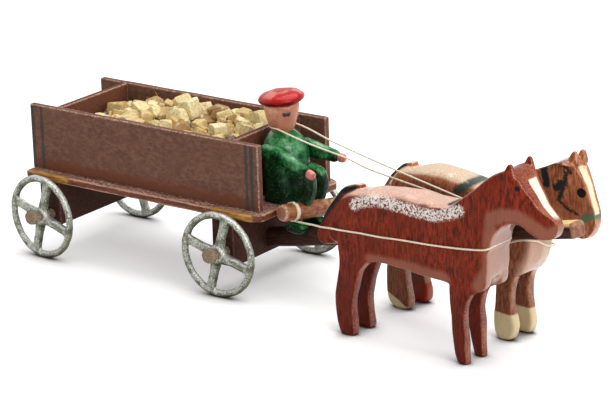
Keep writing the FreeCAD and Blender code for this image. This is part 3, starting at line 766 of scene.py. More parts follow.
def addHeap():
    low, high = span("ore_load")
    rng = random.Random(heap["seed"])
    boardTop = span("right_side_board")[1][2]
    shapes, tones, owns = [], [], []
    centre = (low + high) / 2
    half = (high - low) / 2

    def surfaceAt(x, y):
        across = (y - centre[1]) / half[1]
        ends = (x - centre[0]) / half[0]
        crown = (1 - abs(across) ** 3) * (1 - abs(ends) ** 5)
        bump = noise.noise(Vector((x * 0.13, y * 0.13, 3.0))) * 4.2
        return boardTop - 6.0 + 2.6 * crown + across * 1.3 + bump - 5.5 * max(0, -ends - 0.5)

    # a rough bed under the lumps
    cols, rows = 40, 20
    xs = np.linspace(low[0] + 0.1, high[0] - 0.1, cols)
    ys = np.linspace(low[1] + 0.1, high[1] - 0.1, rows)
    bed = [(x, y, surfaceAt(x, y) - 1.2 + noise.noise(Vector((x, y, 0)) * 0.9) * 0.5) for x in xs for y in ys]
    bedFaces = [(i * rows + j, (i + 1) * rows + j, (i + 1) * rows + j + 1, i * rows + j + 1)
                for i in range(cols - 1) for j in range(rows - 1)]
    base = len(bed)
    foot = low[2] + 0.1
    rim = [i * rows for i in range(cols)] + [(cols - 1) * rows + j for j in range(1, rows)]
    rim += [i * rows + rows - 1 for i in range(cols - 2, -1, -1)] + [j for j in range(rows - 2, 0, -1)]
    bed += [(bed[index][0], bed[index][1], foot) for index in rim]
    for index in range(len(rim)):
        after = (index + 1) % len(rim)
        bedFaces.append((rim[after], rim[index], base + index, base + after))
    bedFaces.append(tuple(base + index for index in range(len(rim))))
    shapes.append((np.array(bed), bedFaces))
    tones.append(np.full(len(bed), 0.86))
    total = heap["lumps"] + heap["crumbs"]
    for index in range(total):
        big = index >= heap["crumbs"]
        size = rng.uniform(2.6, 5.4) if big else rng.uniform(0.8, 2.0)
        grey = big and index < heap["crumbs"] + heap["greys"]
        size *= 0.7 if grey else 1.0
        verts, faces = hull(crumb(rng, size * 0.5))
        turn = (Matrix.Rotation(rng.uniform(-0.5, 0.5), 4, "X") @ Matrix.Rotation(rng.uniform(-0.5, 0.5), 4, "Y")
                @ Matrix.Rotation(rng.uniform(0, 6.28), 4, "Z"))
        x = rng.uniform(low[0] + size * 0.62, high[0] - size * 0.62)
        y = rng.uniform(low[1] + size * 0.62, high[1] - size * 0.62)
        z = surfaceAt(x, y) + (rng.uniform(-0.5, 0.35) * size if big else rng.uniform(-0.6, 0.4))
        shapes.append((swung(verts, Matrix.Translation((x, y, z)) @ turn), faces))
        tones.append(np.full(len(verts), rng.uniform(0.92, 1.0) if grey else rng.uniform(0.0, 0.86)))
    for index in range(9):
        # splinters of straw lying among the lumps
        x, y = rng.uniform(low[0] + 22, high[0] - 8), rng.uniform(low[1] + 1.0, low[1] + 5)
        angle = rng.uniform(-0.9, 0.9)
        reach = rng.uniform(1.2, 2.4)
        z = surfaceAt(x, y) + 1.5
        path = [(x + t * reach * math.cos(angle), y + t * reach * math.sin(angle), z + 0.2 * t) for t in (-1, 0, 1)]
        verts, faces = tube(path, 0.2, 6)
        shapes.append((verts, faces))
        tones.append(np.full(len(verts), 0.3))
    verts, faces = together(shapes)
    made = addPiece("oreHeap", (verts, faces), crumbFinish(), replaces=("ore_load",),
                    marks={"tone": np.concatenate(tones)})
    made.data.polygons.foreach_set("use_smooth", [False] * len(made.data.polygons))


addHeap()
print("heap done")


# ---------------------------------------------------------------- driver
driver = {"x": 41.2, "y": -1.8, "seat": 24.2, "neckX": 40.1}


def coatFinish():
    finish = Finish("greenGloss")
    own = finish.own()
    broad = finish.noise(own, 0.3, 3, 0.5)
    fine = finish.noise(own, 1.5, 4, 0.65)
    x, y, z = finish.parts(own)
    # painted light: faces that point up run further up the green ramp, towards a pale highlight
    color = finish.ramp(broad + (fine - 0.5) * 0.5 + finish.upward() * 0.16,
                        [(0.28, shade(10, 34, 16)), (0.46, shade(20, 84, 40)), (0.6, shade(44, 122, 66)),
                         (0.78, shade(110, 164, 122))])
    # painted shade: the coat darkens towards the bottom, on faces that point sideways
    low = (z + (broad - 0.5) * 8).rise(41, 29) * abs(finish.upward()).rise(0.6, 0.2)
    color = finish.blend(low * 0.85, color, shade(10, 24, 12))
    color = finish.blend(fine.rise(0.58, 0.68) * 0.45, color, shade(128, 148, 96))
    return finish.surface(Base_Color=color, Roughness=fine * 0.2 + 0.2, Specular_IOR_Level=0.1,
                          Coat_Weight=finish.upward().rise(-0.1, 0.5) * broad.rise(0.42, 0.56),
                          Normal=finish.relief(fine * 0.6 + broad * 0.8, 0.3))


def skinFinish(name, low, high, gloss):
    finish = Finish(name)
    own = finish.own()
    fine = finish.noise(own, 1.2, 3, 0.5)
    # painted light: lighter on faces that point up or back along -X, darker on faces that point down or forward; low is
    # the shaded colour and high the lit one
    paintedLight = finish.upward() * 0.3 + finish.parts(finish.node("ShaderNodeNewGeometry", out="Normal"))[0] * -0.2
    color = finish.blend((fine * 0.6 + paintedLight + finish.noise(own, 0.25, 3, 0.5) * 0.5).rise(0.35, 0.75), low, high)
    return finish.surface(Base_Color=color, Roughness=fine * 0.15 + gloss, Coat_Weight=0.1 + fine * 0.1,
                          Normal=finish.relief(fine, 0.12))


def capFinish():
    finish = Finish("redGloss")
    own = finish.own()
    fine = finish.noise(own, 1.1, 3, 0.5)
    # painted light: faces that point up are a lighter red, faces that point down a deeper red
    paintedLight = finish.upward() + (fine - 0.5) * 0.25
    color = finish.ramp(paintedLight * 0.5 + 0.5, [(0.35, shade(96, 4, 4)), (0.6, shade(150, 10, 10)), (0.95, shade(176, 18, 16))])
    # painted highlight: pale patches on the top of the cap, which also carry the coat weight
    highlightPatch = finish.noise(finish.stretch(own, 1, 0.6, 1), 0.22, 2, 0.4).rise(0.5, 0.58)
    color = finish.blend(highlightPatch * finish.upward().rise(0.7, 0.95) * 0.45, color, shade(236, 150, 136))
    return finish.surface(Base_Color=color, Roughness=0.16 + fine * 0.08, Specular_IOR_Level=0.1,
                          Coat_Weight=finish.upward().rise(0.0, 0.4) * (highlightPatch * 0.6 + 0.25),
                          Normal=finish.relief(finish.noise(own, 0.4, 2, 0.4), 0.5))


def ovalRing(x, y, z, deep, wide, power=2.4, around=48):
    ring = []
    for turn in np.linspace(0, 2 * math.pi, around, endpoint=False):
        c, s = math.cos(turn), math.sin(turn)
        ring.append((x + deep * math.copysign(abs(c) ** (2 / power), c),
                     y + wide * math.copysign(abs(s) ** (2 / power), s), z))
    return ring


def limbShape(path, thick, heights):
    # a carved arm or leg along a path in X and Z, its height given at each point of the path
    run = smoothRun(path, 6)
    highs = np.interp(np.linspace(0, 1, len(run)), np.linspace(0, 1, len(heights)), heights)
    rings = []
    for index, (x, z) in enumerate(run):
        high = highs[index]
        ahead = run[min(index + 1, len(run) - 1)] - run[max(index - 1, 0)]
        ahead /= np.linalg.norm(ahead)
        across = np.array([-ahead[1], ahead[0]])
        end = min(index, len(run) - 1 - index)
        scale = (0.72, 0.93, 1.0)[min(end, 2)]
        ring = softRect(thick / 2 * scale, high / 2 * scale, min(1.1, high * 0.35) * scale)
        rings.append([(x + across[0] * b, a, z + across[1] * b) for a, b in ring])
    return loft(rings)


coatPaint, redPaint = coatFinish(), capFinish()
skinPaint = skinFinish("skinPaint", shade(172, 104, 78), shade(222, 154, 118), 0.28)
handPaint = skinFinish("handPaint", shade(186, 96, 88), shade(212, 128, 116), 0.3)
blackPaint = skinFinish("blackPaint", shade(20, 12, 12), shade(40, 26, 24), 0.3)
x, y, seat = driver["x"], driver["y"], driver["seat"]
rings = [ovalRing(x, y, seat + up, deep, wide, power) for up, deep, wide, power in (
    (0.1, 4.8, 5.7, 2.8), (0.5, 5.3, 6.1, 2.8), (6, 5.5, 6.3, 2.7), (12.0, 5.5, 6.4, 2.6), (14.8, 5.3, 6.3, 2.5),
    (16.8, 4.7, 5.6, 2.3), (18.3, 3.8, 4.4, 2.1), (19.3, 3.0, 3.2, 2.0))]
coat = loft([[(px - max(0, pz - seat - 13) * 0.14, py, pz) for px, py, pz in ring] for ring in rings])
addPiece("driverCoat", (wobble(coat[0], 0.35, 0.3, 5.0), coat[1]), coatPaint,
         replaces=("driver_coat",))
headRings = []
for up, radius in ((0, 2.7), (0.3, 3.0), (1.6, 3.6), (3.4, 4.15), (5.4, 4.6), (7.0, 4.85), (8.0, 4.6)):
    headRings.append(ovalRing(driver["neckX"], y, seat + 19.1 + up, radius, radius, 2.0, 72))
headVerts, headFaces = loft([ring for ring in headRings])
eyeHeight = seat + 24.8
eyes = []
for turn in (-43, -30):
    angle = math.radians(turn)
    eyes.append((driver["neckX"] + 4.5 * math.cos(angle), y + 4.5 * math.sin(angle), eyeHeight))
addPiece("driverHead", (headVerts, headFaces), skinPaint, replaces=("driver_head",))
for index, eye in enumerate(eyes):
    dot = rod([(-0.3, 0.4), (0.0, 0.72), (0.2, 0.6), (0.3, 0.25)], 20)
    turn = math.atan2(eye[1] - y, eye[0] - driver["neckX"])
    addPiece(("right", "left")[index] + "Eye", dot, blackPaint,
             matrix=Matrix.Translation(eye) @ Matrix.Rotation(turn, 4, "Z"))
capVerts, capFaces = rod([(-1.3, 4.4), (-1.15, 5.4), (-0.5, 6.2), (0.1, 6.42), (0.7, 6.1), (1.3, 5.2), (1.7, 3.8),
                          (1.95, 1.8), (2.0, 0.4)], 64)
capMatrix = (Matrix.Translation((driver["neckX"], y, seat + 28.3))
             @ Matrix.Rotation(math.radians(-5), 4, Vector((-0.6, 1, 0))) @ Matrix.Rotation(-math.pi / 2, 4, "Y"))
addPiece("driverCap", (wobble(capVerts, 0.3, 0.12, 8.0), capFaces), redPaint, matrix=capMatrix,
         replaces=("driver_cap",))
arms = {
    "Right": {"path": [(37.6, 38.9), (42.5, 38.2), (47.6, 36.8), (52.6, 35.0)], "y": -8.0, "tip": (54.9, 34.1),
              "high": (4.4, 4.4, 3.6, 3.0)},
    "Left": {"path": [(41.0, 37.6), (46.0, 36.9), (50.5, 36.4), (53.6, 36.1)], "y": 5.0, "tip": (55.8, 35.9),
             "high": (5.2, 4.8, 3.6, 3.0)},
}
for side, arm in arms.items():
    shape = limbShape(arm["path"], 2.8, arm["high"])
    place = Matrix.Translation((0, arm["y"], 0))
    addPiece("driver" + side + "Arm", (wobble(shape[0], 0.5, 0.14, arm["y"]), shape[1]), coatPaint,
             matrix=place, replaces=("driver_" + side.lower() + "_arm",))
    hand = limbShape([arm["path"][-1], arm["tip"]], 2.0, (arm["high"][-1] * 0.86, arm["high"][-1] * 0.8))
    addPiece("driver" + side + "Hand", hand, handPaint, matrix=place)
legs = {
    "Right": [(42.5, 33.4), (47.5, 33.8), (51.0, 33.2), (51.9, 30.6), (51.0, 27.0), (48.6, 23.6), (46.8, 19.6)],
    "Left": [(42.5, 32.0), (46.5, 32.2), (49.2, 31.4), (50.0, 28.8), (49.2, 25.6), (47.2, 22.6), (46.2, 19.6)],
}
for side, offset in (("Right", -3.9), ("Left", 3.9)):
    leg = limbShape(legs[side], 3.4, (3.6, 3.4, 3.2, 3.0, 2.8, 2.6, 2.4))
    boot = limbShape([(44.0, 17.6), (44.8, 17.8), (46.0, 18.0), (47.4, 18.0), (48.8, 17.8), (49.8, 17.5)], 3.0,
                     (1.6, 2.8, 3.4, 3.4, 2.8, 1.4))
    verts, faces = together([leg, boot])
    addPiece("driver" + side + "Leg", (wobble(verts, 0.5, 0.16, offset), faces), coatPaint,
             matrix=Matrix.Translation((0, y + offset, 0)), replaces=("driver_" + side.lower() + "_leg",))
print("driver done")


# ---------------------------------------------------------------- horses
rightHorse = {
    "place": (99.0, -23.2), "yaw": -3.0,
    "torso": [(-23.2, 25), (-23.2, 31), (-22.6, 35.6), (-19.6, 38.8), (-13, 40.2), (-4, 41.4), (5, 41.2),
              (13, 41.4), (20, 40), (25.2, 37), (25.4, 29), (24.4, 23.8), (20, 19.8), (12, 20.8), (4, 21.2),
              (-4, 21.9), (-12, 21.4), (-17, 19.4), (-21.5, 19.5)],
    "neck": [(6, 39.0), (12.5, 41.2), (16.5, 43.8), (20.6, 47.0), (25.4, 50.8), (29.4, 53.2), (32.2, 53.6),
             (34.0, 52.0), (36.2, 48.4), (39.2, 44.6), (42.6, 41.8), (43.6, 39.8), (42.4, 37.4), (39.6, 36.6),
             (36.6, 37.6), (33.6, 39.6), (30.0, 39.4), (27.0, 36), (24, 30), (14, 30)],
    "hind": [(-22.8, 26), (-22.9, 19), (-24.1, 12), (-24.3, 6), (-23.0, 0.5), (-20.6, 0.0), (-18.2, 0.5),
             (-18.5, 5), (-18.5, 9), (-17.5, 13.5), (-15.9, 18), (-13, 22.5), (-15, 29), (-20, 29)],
    "fore": [(13.0, 24), (12.9, 16.5), (13.2, 11), (13.9, 5.5), (15.0, 0.5), (16.5, 0.0), (18.0, 0.5), (17.8, 8),
             (17.7, 14), (19.6, 18.8), (24.2, 22), (24, 28), (18, 30), (13, 29)],
    "tail": [(-17.5, 39.6), (-20.6, 39.8), (-24.2, 38.2), (-27.2, 34.4), (-29.8, 30.8), (-31.8, 27.4), (-32.6, 24.8),
             (-31.8, 22.8), (-29.8, 22.2), (-26, 23), (-20, 25)],
    "tailRoot": [(-17.5, 38.2), (-21.0, 37.8), (-23.6, 35.6), (-25.6, 32.4), (-27.2, 29.4), (-27.9, 26.6),
                 (-26.8, 24.4), (-24, 24), (-18, 26)],
    "ears": [(31.5, -4.0), (31.8, 4.0)], "earHeight": 55.4,
    "halves": [(26, 5.0, 5.0), (29.5, 4.8, 4.8), (37.2, 2.9, 3.6), (45.2, 0.9, 2.5)],
    "crest": [(12.5, 41.8), (16.5, 44.2), (20.6, 47.4), (25.4, 51.2), (29.0, 53.4)], "maneWide": 1.0,
    "tailEdge": [(-19.5, 39.6), (-23.9, 37.9), (-26.8, 34), (-29.3, 30.8), (-31.7, 27.4)],
    # wear is the path of the back's pale speckled stroke, partly wear and partly painted highlight
    "wear": [(-17, 36.4), (-14.6, 37.6), (-10, 38.9), (-3, 38.7), (4, 38.2), (9, 38.2), (14, 39.8), (16.6, 41.0)],
    "wearSheenWide": 1.35, "eye": (33.9, 49.6), "eyeSize": 0.7,
    "blaze": [(35.0, 49.8), (37.4, 46.2), (41.4, 40.9)], "blazeWide": (-0.05, 0.66),
    "belly": [(-12, 22.6), (0, 23.0), (12, 22.2)],
    "throat": [(26.5, 40.6), (29.5, 42.0), (33.5, 42.0), (36.8, 40.2), (41.0, 37.6), (43.4, 39.2)], "throatWide": 1.8,
    "breast": [(26.2, 40), (25.4, 34), (25.2, 27), (22, 22)],
}
leftHorse = {
    "place": (99.0, -1.5), "yaw": -8.0,
    "torso": [(-23.4, 24), (-24.0, 30), (-23.4, 35), (-20.6, 38.2), (-15, 39.6), (-8, 40.8), (0, 40.4), (8, 40.0),
              (16, 40.2), (22, 38), (26, 33), (25.4, 25), (22.4, 19.0), (17, 18.0), (8, 19.6), (0, 20.2), (-8, 20.6),
              (-15, 18.6), (-20, 18)],
    "neck": [(6, 38.0), (14, 40.6), (20.5, 44.4), (26.5, 47.6), (31, 49.8), (35.4, 51.6), (38.4, 50.6), (40.4, 47.2),
             (42.2, 42.6), (43.6, 38.2), (43.2, 34.6), (41.2, 31.8), (38.6, 31.4), (35.8, 33.4), (31, 36), (27.6, 34),
             (24, 28), (14, 28)],
    "hind": [(-23.2, 25), (-23.6, 18), (-24.5, 11), (-24.6, 5), (-23.4, 1.2), (-20.6, 0.0), (-17.2, 0.6),
             (-16.3, 3), (-17.2, 8), (-17.2, 13), (-15.4, 18.5), (-13, 23), (-15, 29), (-20, 29)],
    "fore": [(13.6, 24), (13.8, 15), (13.4, 8), (13.1, 3.4), (14.6, 0.3), (17, 0.0), (19.4, 0.9), (20.2, 4.6),
             (19.2, 10), (19.4, 15), (21.6, 20), (24, 26), (18, 30), (13, 29)],
    "tail": [(-17.5, 39.4), (-20.2, 39.6), (-22.4, 38.2), (-24.4, 36.4), (-26.8, 33.8), (-29.4, 30.4), (-31.2, 27.4),
             (-31.8, 24.8), (-31, 22.8), (-28.8, 22.4), (-25.6, 23), (-20, 25)],
    "tailRoot": [(-17.5, 38.4), (-21.0, 37.6), (-23.6, 35.2), (-25.6, 32.4), (-27.2, 29.4), (-27.9, 26.6),
                 (-26.8, 24.4), (-24, 24), (-18, 26)],
    "ears": [(37.3, -1.1), (38.0, 1.2)], "earHeight": 54.2,
    "halves": [(22, 5.0, 5.0), (34.5, 2.8, 2.7), (41.2, 1.7, 2.5), (46, 1.0, 2.2)],
    "crest": [(26.5, 48.2), (31, 50.4), (33.4, 51.4)], "maneWide": 1.2,
    "tailEdge": [(-20, 39.8), (-24.6, 36.6), (-27, 34)],
    "wear": [(-60, 0), (-61, 0)], "wearSheenWide": 0.1, "eye": (40.2, 43.9), "eyeSize": 1.25,
    "blaze": [(39.2, 49.2), (40.3, 47.0), (42.0, 43.0), (43.0, 39.6)], "blazeWide": (-0.45, 0.5),
    "belly": [(-12, 22.0), (0, 22.4), (12, 21.6)],
    "throat": [(27, 34), (31, 36.2), (35.8, 33.6)], "throatWide": 1.2, "breast": [(26, 33), (25.6, 25), (22.4, 19)],
    "girth": [(1.5, 37.4), (4.4, 39.6), (7, 41.6)],
    "straps": [[(29.6, 49), (30.3, 44.8)], [(33.2, 44.2), (34.6, 45.6)], [(36.0, 48.6), (35.6, 45.6), (33.8, 41.6)],
               [(33.4, 41.0), (35.8, 39.0), (39, 38)], [(35.6, 51.0), (37.2, 48.8)]],
    "strapWide": (1.1, 1.0, 0.6, 0.4, 0.5), "sockFore": 7.4, "sockHind": 2.4,
    "noseband": [(40.6, 36.9), (42.0, 37.8), (43.8, 38.4)],
}
legPlate = {"thick": 2.9, "half": 5.0}


def strokeGap(points, path):
    # distance in the side view from each point to a drawn stroke
    flat = points[:, [0, 2]]
    best = np.full(len(flat), 1e9)
    for start, end in zip(path, path[1:]):
        start, end = np.array(start, float), np.array(end, float)
        along = end - start
        t = np.clip(((flat - start) @ along) / along.dot(along), 0, 1)
        best = np.minimum(best, np.linalg.norm(flat - (start + t[:, None] * along), axis=1))
    return best


def horseShape(horse):
    half = legPlate["half"]
    # the barrel has a well rounded back, and a flank that stays nearly square below
    lower = [(x, z) for x, z in horse["torso"] if z < 34.4]
    split = 1 + max(range(len(lower) - 1), key=lambda index: lower[index + 1][0] - lower[index][0])
    lower[split:split] = [(-22.2, 33.6), (-19.5, 34.4), (-6, 34.5), (8, 34.5), (22.4, 34.4), (24.6, 33.4)]
    shapes = [slab(horse["torso"], -half, half, 3.0, layers=6), slab(horse["neck"], -half, half, 1.0)]
    shapes.append(slab(lower, -half, half, 1.2))
    for side in (-1, 1):
        edges = sorted([side * half, side * (half - legPlate["thick"])])
        shapes.append(slab(horse["hind"], edges[0], edges[1], 0.75))
        shapes.append(slab(horse["fore"], edges[0], edges[1], 0.75))
    shapes.append(slab(horse["tail"], -1.5, 1.5, 0.7))
    shapes.append(slab(horse["tailRoot"], -3.6, 3.6, 1.6))
    for x, y in horse["ears"]:
        base = horse["earHeight"] - 4.6
        rings = []
        for up, deep, wide in ((0, 2.2, 1.4), (2.0, 1.7, 1.15), (3.6, 1.1, 0.85), (4.6, 0.6, 0.5)):
            rings.append(ovalRing(x + up * 0.06, y * half / horse["halves"][0][1], base + up, deep, wide, 2.2, 20))
        shapes.append(loft(rings))
    verts, faces = melt(shapes, 0.32, 5)
    x, y, z = verts.T
    # the head is cut in towards the nose, more on one side than on the other
    places, near, far = zip(*horse["halves"])
    reach = x - (z - 45) * 0.35
    width = np.where(y < 0, np.interp(reach, places, near), np.interp(reach, places, far))
    ears = horse["earHeight"] - 4.0
    held = np.maximum(smoothSteps(z, 34, 39), smoothSteps(x, 30, 35)) * smoothSteps(x, 18, 26)
    held *= 1 - smoothSteps(z, ears, ears + 1)
    verts[:, 1] = y * (1 - held * (1 - width / half))
    return wobble(verts, 0.22, 0.3, horse["yaw"]), faces, width


def horseFinish(name, tones, blaze):
    finish = Finish(name)
    own = finish.own()
    x, y, z = finish.parts(own)
    strokes = finish.noise(finish.stretch(own, 1, 1, 0.24), 1.7, 5, 0.68)
    broad = finish.noise(own, 0.14, 3, 0.5)
    fine = finish.noise(own, 2.6, 5, 0.72)
    color = finish.blend(strokes.rise(0.36, 0.62), tones["deep"], tones["coat"])
    color = finish.blend(broad.rise(0.42, 0.62) * 0.5, color, tones["warm"])
    # painted shade: the legs darken towards the bottom, below the belly
    color = finish.blend((z + (broad - 0.5) * 10).rise(24, 12) * 0.55, color, tones["leg"])
    color = finish.blend(fine.rise(0.6, 0.72) * 0.3, color, tones["edge"])
    side = abs(finish.parts(finish.node("ShaderNodeNewGeometry", out="Normal"))[1])
    worn = side.rise(0.93, 0.6) * (fine + broad * 0.4).rise(0.6, 0.85)
    color = finish.blend(worn * 0.5, color, tones["edge"])
    # painted reflection: the throat, breast and belly bands are lightened as if the white floor shone on them
    pale = (finish.level("throat") + (fine - 0.5) * 2.0).rise(0.8, -0.8)
    color = finish.blend(pale * 0.6, color, tones["throat"])
    # partly worn paint, partly painted highlight: the top of the back is pale where faces point up
    top = finish.upward().rise(0.5, 0.82) * z.rise(34, 37) * x.rise(19, 14)
    back = finish.blend(fine.rise(0.4, 0.6), tones["back"], tones["backDark"])
    color = finish.blend(top * 0.95, color, back)
    # partly wear, partly painted highlight: pale specks along the near top edge of the back
    wear = finish.level("backWear") + (fine - 0.5) * 3.6
    dots = finish.noise(own, 1.9, 3, 0.7)
    color = finish.blend(wear.rise(0.5, -0.3) * dots.rise(0.44, 0.5), color, tones["speck"])
    # painted highlight: front-facing faces of the chest are pale, as if lit from the front
    frontward = finish.parts(finish.node("ShaderNodeNewGeometry", out="Normal"))[0]
    chestSheen = frontward.rise(0.45, 0.9) * z.rise(tones["frontLow"] - 1.5, tones["frontLow"] + 1.5)
    chestSheen = chestSheen * (y + (fine - 0.5) * 3).rise(tones["frontFrom"] - 1, tones["frontFrom"] + 1)
    color = finish.blend(chestSheen * z.rise(tones["frontHigh"] + 1, tones["frontHigh"] - 1) * 0.85, color, tones["front"])
    for mark, paint, soft in (("mane", shade(30, 24, 26), 0.3), ("girth", shade(62, 70, 62), 0.5),
                              ("strap", shade(36, 42, 44), 0.3), ("noseband", shade(92, 104, 78), 0.5),
                              ("blaze", blaze, 0.25),
                              ("sock", shade(214, 194, 152), 0.3), ("hoof", shade(150, 52, 28), 0.4),
                              ("eye", shade(22, 22, 28), 0.12)):
        if mark in tones["marks"]:
            ragged = {"girth": 2.6, "eye": 0.3, "blaze": 0.9, "strap": 2.6, "noseband": 2.2, "mane": 1.8}.get(mark, 1.1)
            if mark in ("sock", "blaze"):
                paint = finish.blend(fine.rise(0.6, 0.68), paint, tones["warm"])
            level = finish.level(mark) + (fine - 0.5) * ragged
            color = finish.blend(level.rise(soft, -soft), color, paint)
    return finish.surface(Base_Color=color, Roughness=(strokes * 0.25 + 0.25),
                          Coat_Weight=side.rise(0.9, 0.5) * (broad * 0.4 + 0.5), Specular_IOR_Level=0.08,
                          Normal=finish.relief(strokes * 0.9 + fine * 0.45, 0.3))


def addHorse(name, node, horse, tones, blazeColor):
    verts, faces, width = horseShape(horse)
    x, y, z = verts.T
    away = np.full(len(verts), 9.0)
    marks = {}
    crest = strokeGap(verts, horse["crest"]) - horse["maneWide"]
    marks["mane"] = np.minimum(crest + np.maximum(0, np.abs(y) - 3.0), strokeGap(verts, horse["tailEdge"]) - 0.8)
    # a pale speckled stroke along the back's near top edge, partly wear and partly painted highlight
    marks["backWear"] = np.where(y < -2.5, strokeGap(verts, horse["wear"]) - horse["wearSheenWide"], away)
    share = y / np.maximum(width, 0.8)
    low, high = horse["blazeWide"]
    inside = np.maximum(low - share, share - high) * np.maximum(width, 0.8)
    marks["blaze"] = np.maximum(strokeGap(verts, horse["blaze"]) - 1.25, inside)
    flat = np.hypot(x - horse["eye"][0], z - horse["eye"][1])
    marks["eye"] = np.where(np.abs(y) > 0.8, flat - horse.get("eyeSize", 0.9), away)
    # the throat, breast and belly strokes mark where the painted floor reflection goes
    throat = np.minimum(strokeGap(verts, horse["throat"]) - horse["throatWide"],
                        np.minimum(strokeGap(verts, horse["breast"]) - 1.6, strokeGap(verts, horse["belly"]) - 1.4))
    marks["throat"] = throat
    marks["girth"] = np.maximum(strokeGap(verts, horse.get("girth", [(0, 90), (1, 90)])) - 1.2, 35.5 - z)
    straps = [strokeGap(verts, path) - wide for path, wide in zip(horse.get("straps", []), horse.get("strapWide", []))]
    marks["strap"] = np.min(straps, axis=0) if straps else away
    marks["noseband"] = strokeGap(verts, horse.get("noseband", [(0, 90), (1, 90)])) - 1.1
    socks = np.where(x > 0, z - horse.get("sockFore", 0.0), z - horse.get("sockHind", 0.0) + (x + 20) * 0.45)
    marks["sock"] = np.where((x < 0) & (y > 0), away, socks)
    marks["hoof"] = np.where((x < 0) & (y > 0), z - 6.0, away)
    place = Matrix.Translation((*horse["place"], 0)) @ Matrix.Rotation(math.radians(horse["yaw"]), 4, "Z")
    return addPiece(name, (verts, faces), horseFinish(name + "Paint", tones, blazeColor), matrix=place,
                    replaces=(node,), marks=marks)


# front and throat are colours for painted highlight and reflection, back, backDark and speck for tops that are partly
# worn and partly painted highlight, leg for painted shade low on the legs
rightTones = {"deep": shade(74, 18, 8), "coat": shade(142, 50, 24), "warm": shade(112, 32, 14), "leg": shade(82, 26, 14),
              "front": shade(176, 138, 122), "frontLow": 20, "frontHigh": 39, "frontFrom": -8,
              "edge": shade(206, 128, 92), "back": shade(236, 200, 180), "backDark": shade(212, 158, 134),
              "speck": shade(236, 226, 220), "throat": shade(158, 104, 84), "marks": ("mane", "blaze", "eye")}
leftTones = {"deep": shade(116, 58, 34), "coat": shade(190, 122, 84), "warm": shade(158, 92, 62), "leg": shade(84, 34, 20),
             "front": shade(206, 178, 154),
             "edge": shade(206, 156, 122), "back": shade(238, 216, 188), "backDark": shade(206, 170, 138),
             "speck": shade(228, 214, 208), "throat": shade(196, 160, 138),
             "frontLow": 17, "frontHigh": 36,
             "frontFrom": 0.5, "marks": ("mane", "blaze", "eye", "girth", "strap", "noseband", "sock", "hoof")}
addHorse("rightHorse", "right_horse", rightHorse, rightTones, shade(240, 226, 206))
addHorse("leftHorse", "left_horse", leftHorse, leftTones, shade(238, 222, 186))
print("horses done")


# ---------------------------------------------------------------- thread
thread = {"radius": 0.24, "beside": 5.35}


def onHorse(horse, along, side, height):
    angle = math.radians(horse["yaw"])
    x, y = horse["place"]
    return (x + along * math.cos(angle) - side * math.sin(angle), y + along * math.sin(angle) + side * math.cos(angle),
            height)


def neckLoop(degrees, height):
    angle = math.radians(degrees)
    return (driver["neckX"] + 3.5 * math.cos(angle), driver["y"] + 3.5 * math.sin(angle), height)


beside = thread["beside"]
nearRein = [(120.0, -14.2, 35.0), (112, -13.4, 36.2), (104.3, -12.0, 36.7), (78.2, -5.0, 37.0), (68, -1.8, 37.0),
            (58.6, 1.8, 37.4), (50, -2.2, 40.9), (45, -4.6, 43.3), neckLoop(-75, 44.6)]
backRein = [neckLoop(-105, 44.7), neckLoop(-140, 44.9), neckLoop(-180, 45.0), neckLoop(140, 45.0), neckLoop(100, 45.0)]
farRein = [neckLoop(60, 44.9), (46.4, 1.4, 43.9), (54.2, 1.0, 41.8), (68, -2.2, 40.3), (80.8, -5.0, 39.0),
           (105.8, -12.0, 37.5), (114, -13.8, 36.9), (122, -14.9, 35.6)]
reinRoute = nearRein + backRein + farRein
flank = [(-24.4, 28.7), (-21.4, 28.8), (-14.8, 29.2), (-8.3, 29.4), (-1.9, 29.9), (7.7, 30.4), (17.1, 31.2),
         (23.0, 32.0)]
traceRoute = [(49.2, -9.6, 21.3), (55.6, -14.3, 23.2), (62.0, -19.0, 25.2), (68.3, -23.8, 27.1)]
traceRoute += [onHorse(rightHorse, along, -beside, height) for along, height in flank]
traceRoute += [onHorse(rightHorse, 25.2, -5.1, 32.5), onHorse(rightHorse, 26.0, -3.5, 33.0),
               onHorse(rightHorse, 25.9, 0, 33.0), onHorse(rightHorse, 25.6, 4.2, 32.8),
               onHorse(rightHorse, 24.4, 5.6, 32.2), (119.0, -16.8, 28.2), (115.6, -12.2, 27.0),
               onHorse(leftHorse, 15, -5.6, 25.8), onHorse(leftHorse, 18.9, -5.6, 27.0),
               onHorse(leftHorse, 22.9, -5.7, 28.7), onHorse(leftHorse, 25.9, -5.2, 29.2),
               onHorse(leftHorse, 26.9, -3, 28.6), onHorse(leftHorse, 27.0, 0, 26.9), onHorse(leftHorse, 26.7, 3, 25.8),
               onHorse(leftHorse, 25.4, 5.2, 25.5), onHorse(leftHorse, 20, 5.35, 25.4), onHorse(leftHorse, 0, 5.35, 25.2),
               onHorse(leftHorse, -24.4, 5.35, 25), (64, 8.8, 21.4), (53.4, 10.4, 18.8)]


def threadFinish():
    finish = Finish("cottonThread")
    own = finish.own()
    fine = finish.noise(own, 3.0, 3, 0.6)
    color = finish.blend(fine.rise(0.3, 0.7), shade(214, 196, 168), shade(246, 236, 214))
    return finish.surface(Base_Color=color, Roughness=0.8, Normal=finish.relief(fine, 0.1))


cotton = threadFinish()
for name, route, node in (("reinThread", reinRoute, "rein_thread"), ("traceThread", traceRoute, "trace_thread")):
    addPiece(name, tube(smoothRun(route, 14), thread["radius"], 10), cotton, replaces=(node,))
wrap = []
for step in range(44):
    turn = math.radians(30 * step)
    wrap.append((3.6 + step * 0.022, 2.55 * math.cos(turn), 2.55 * math.sin(turn)))
addPiece("barWrap", tube(wrap, 0.2, 8), cotton, matrix=barMatrix)
print("thread done")


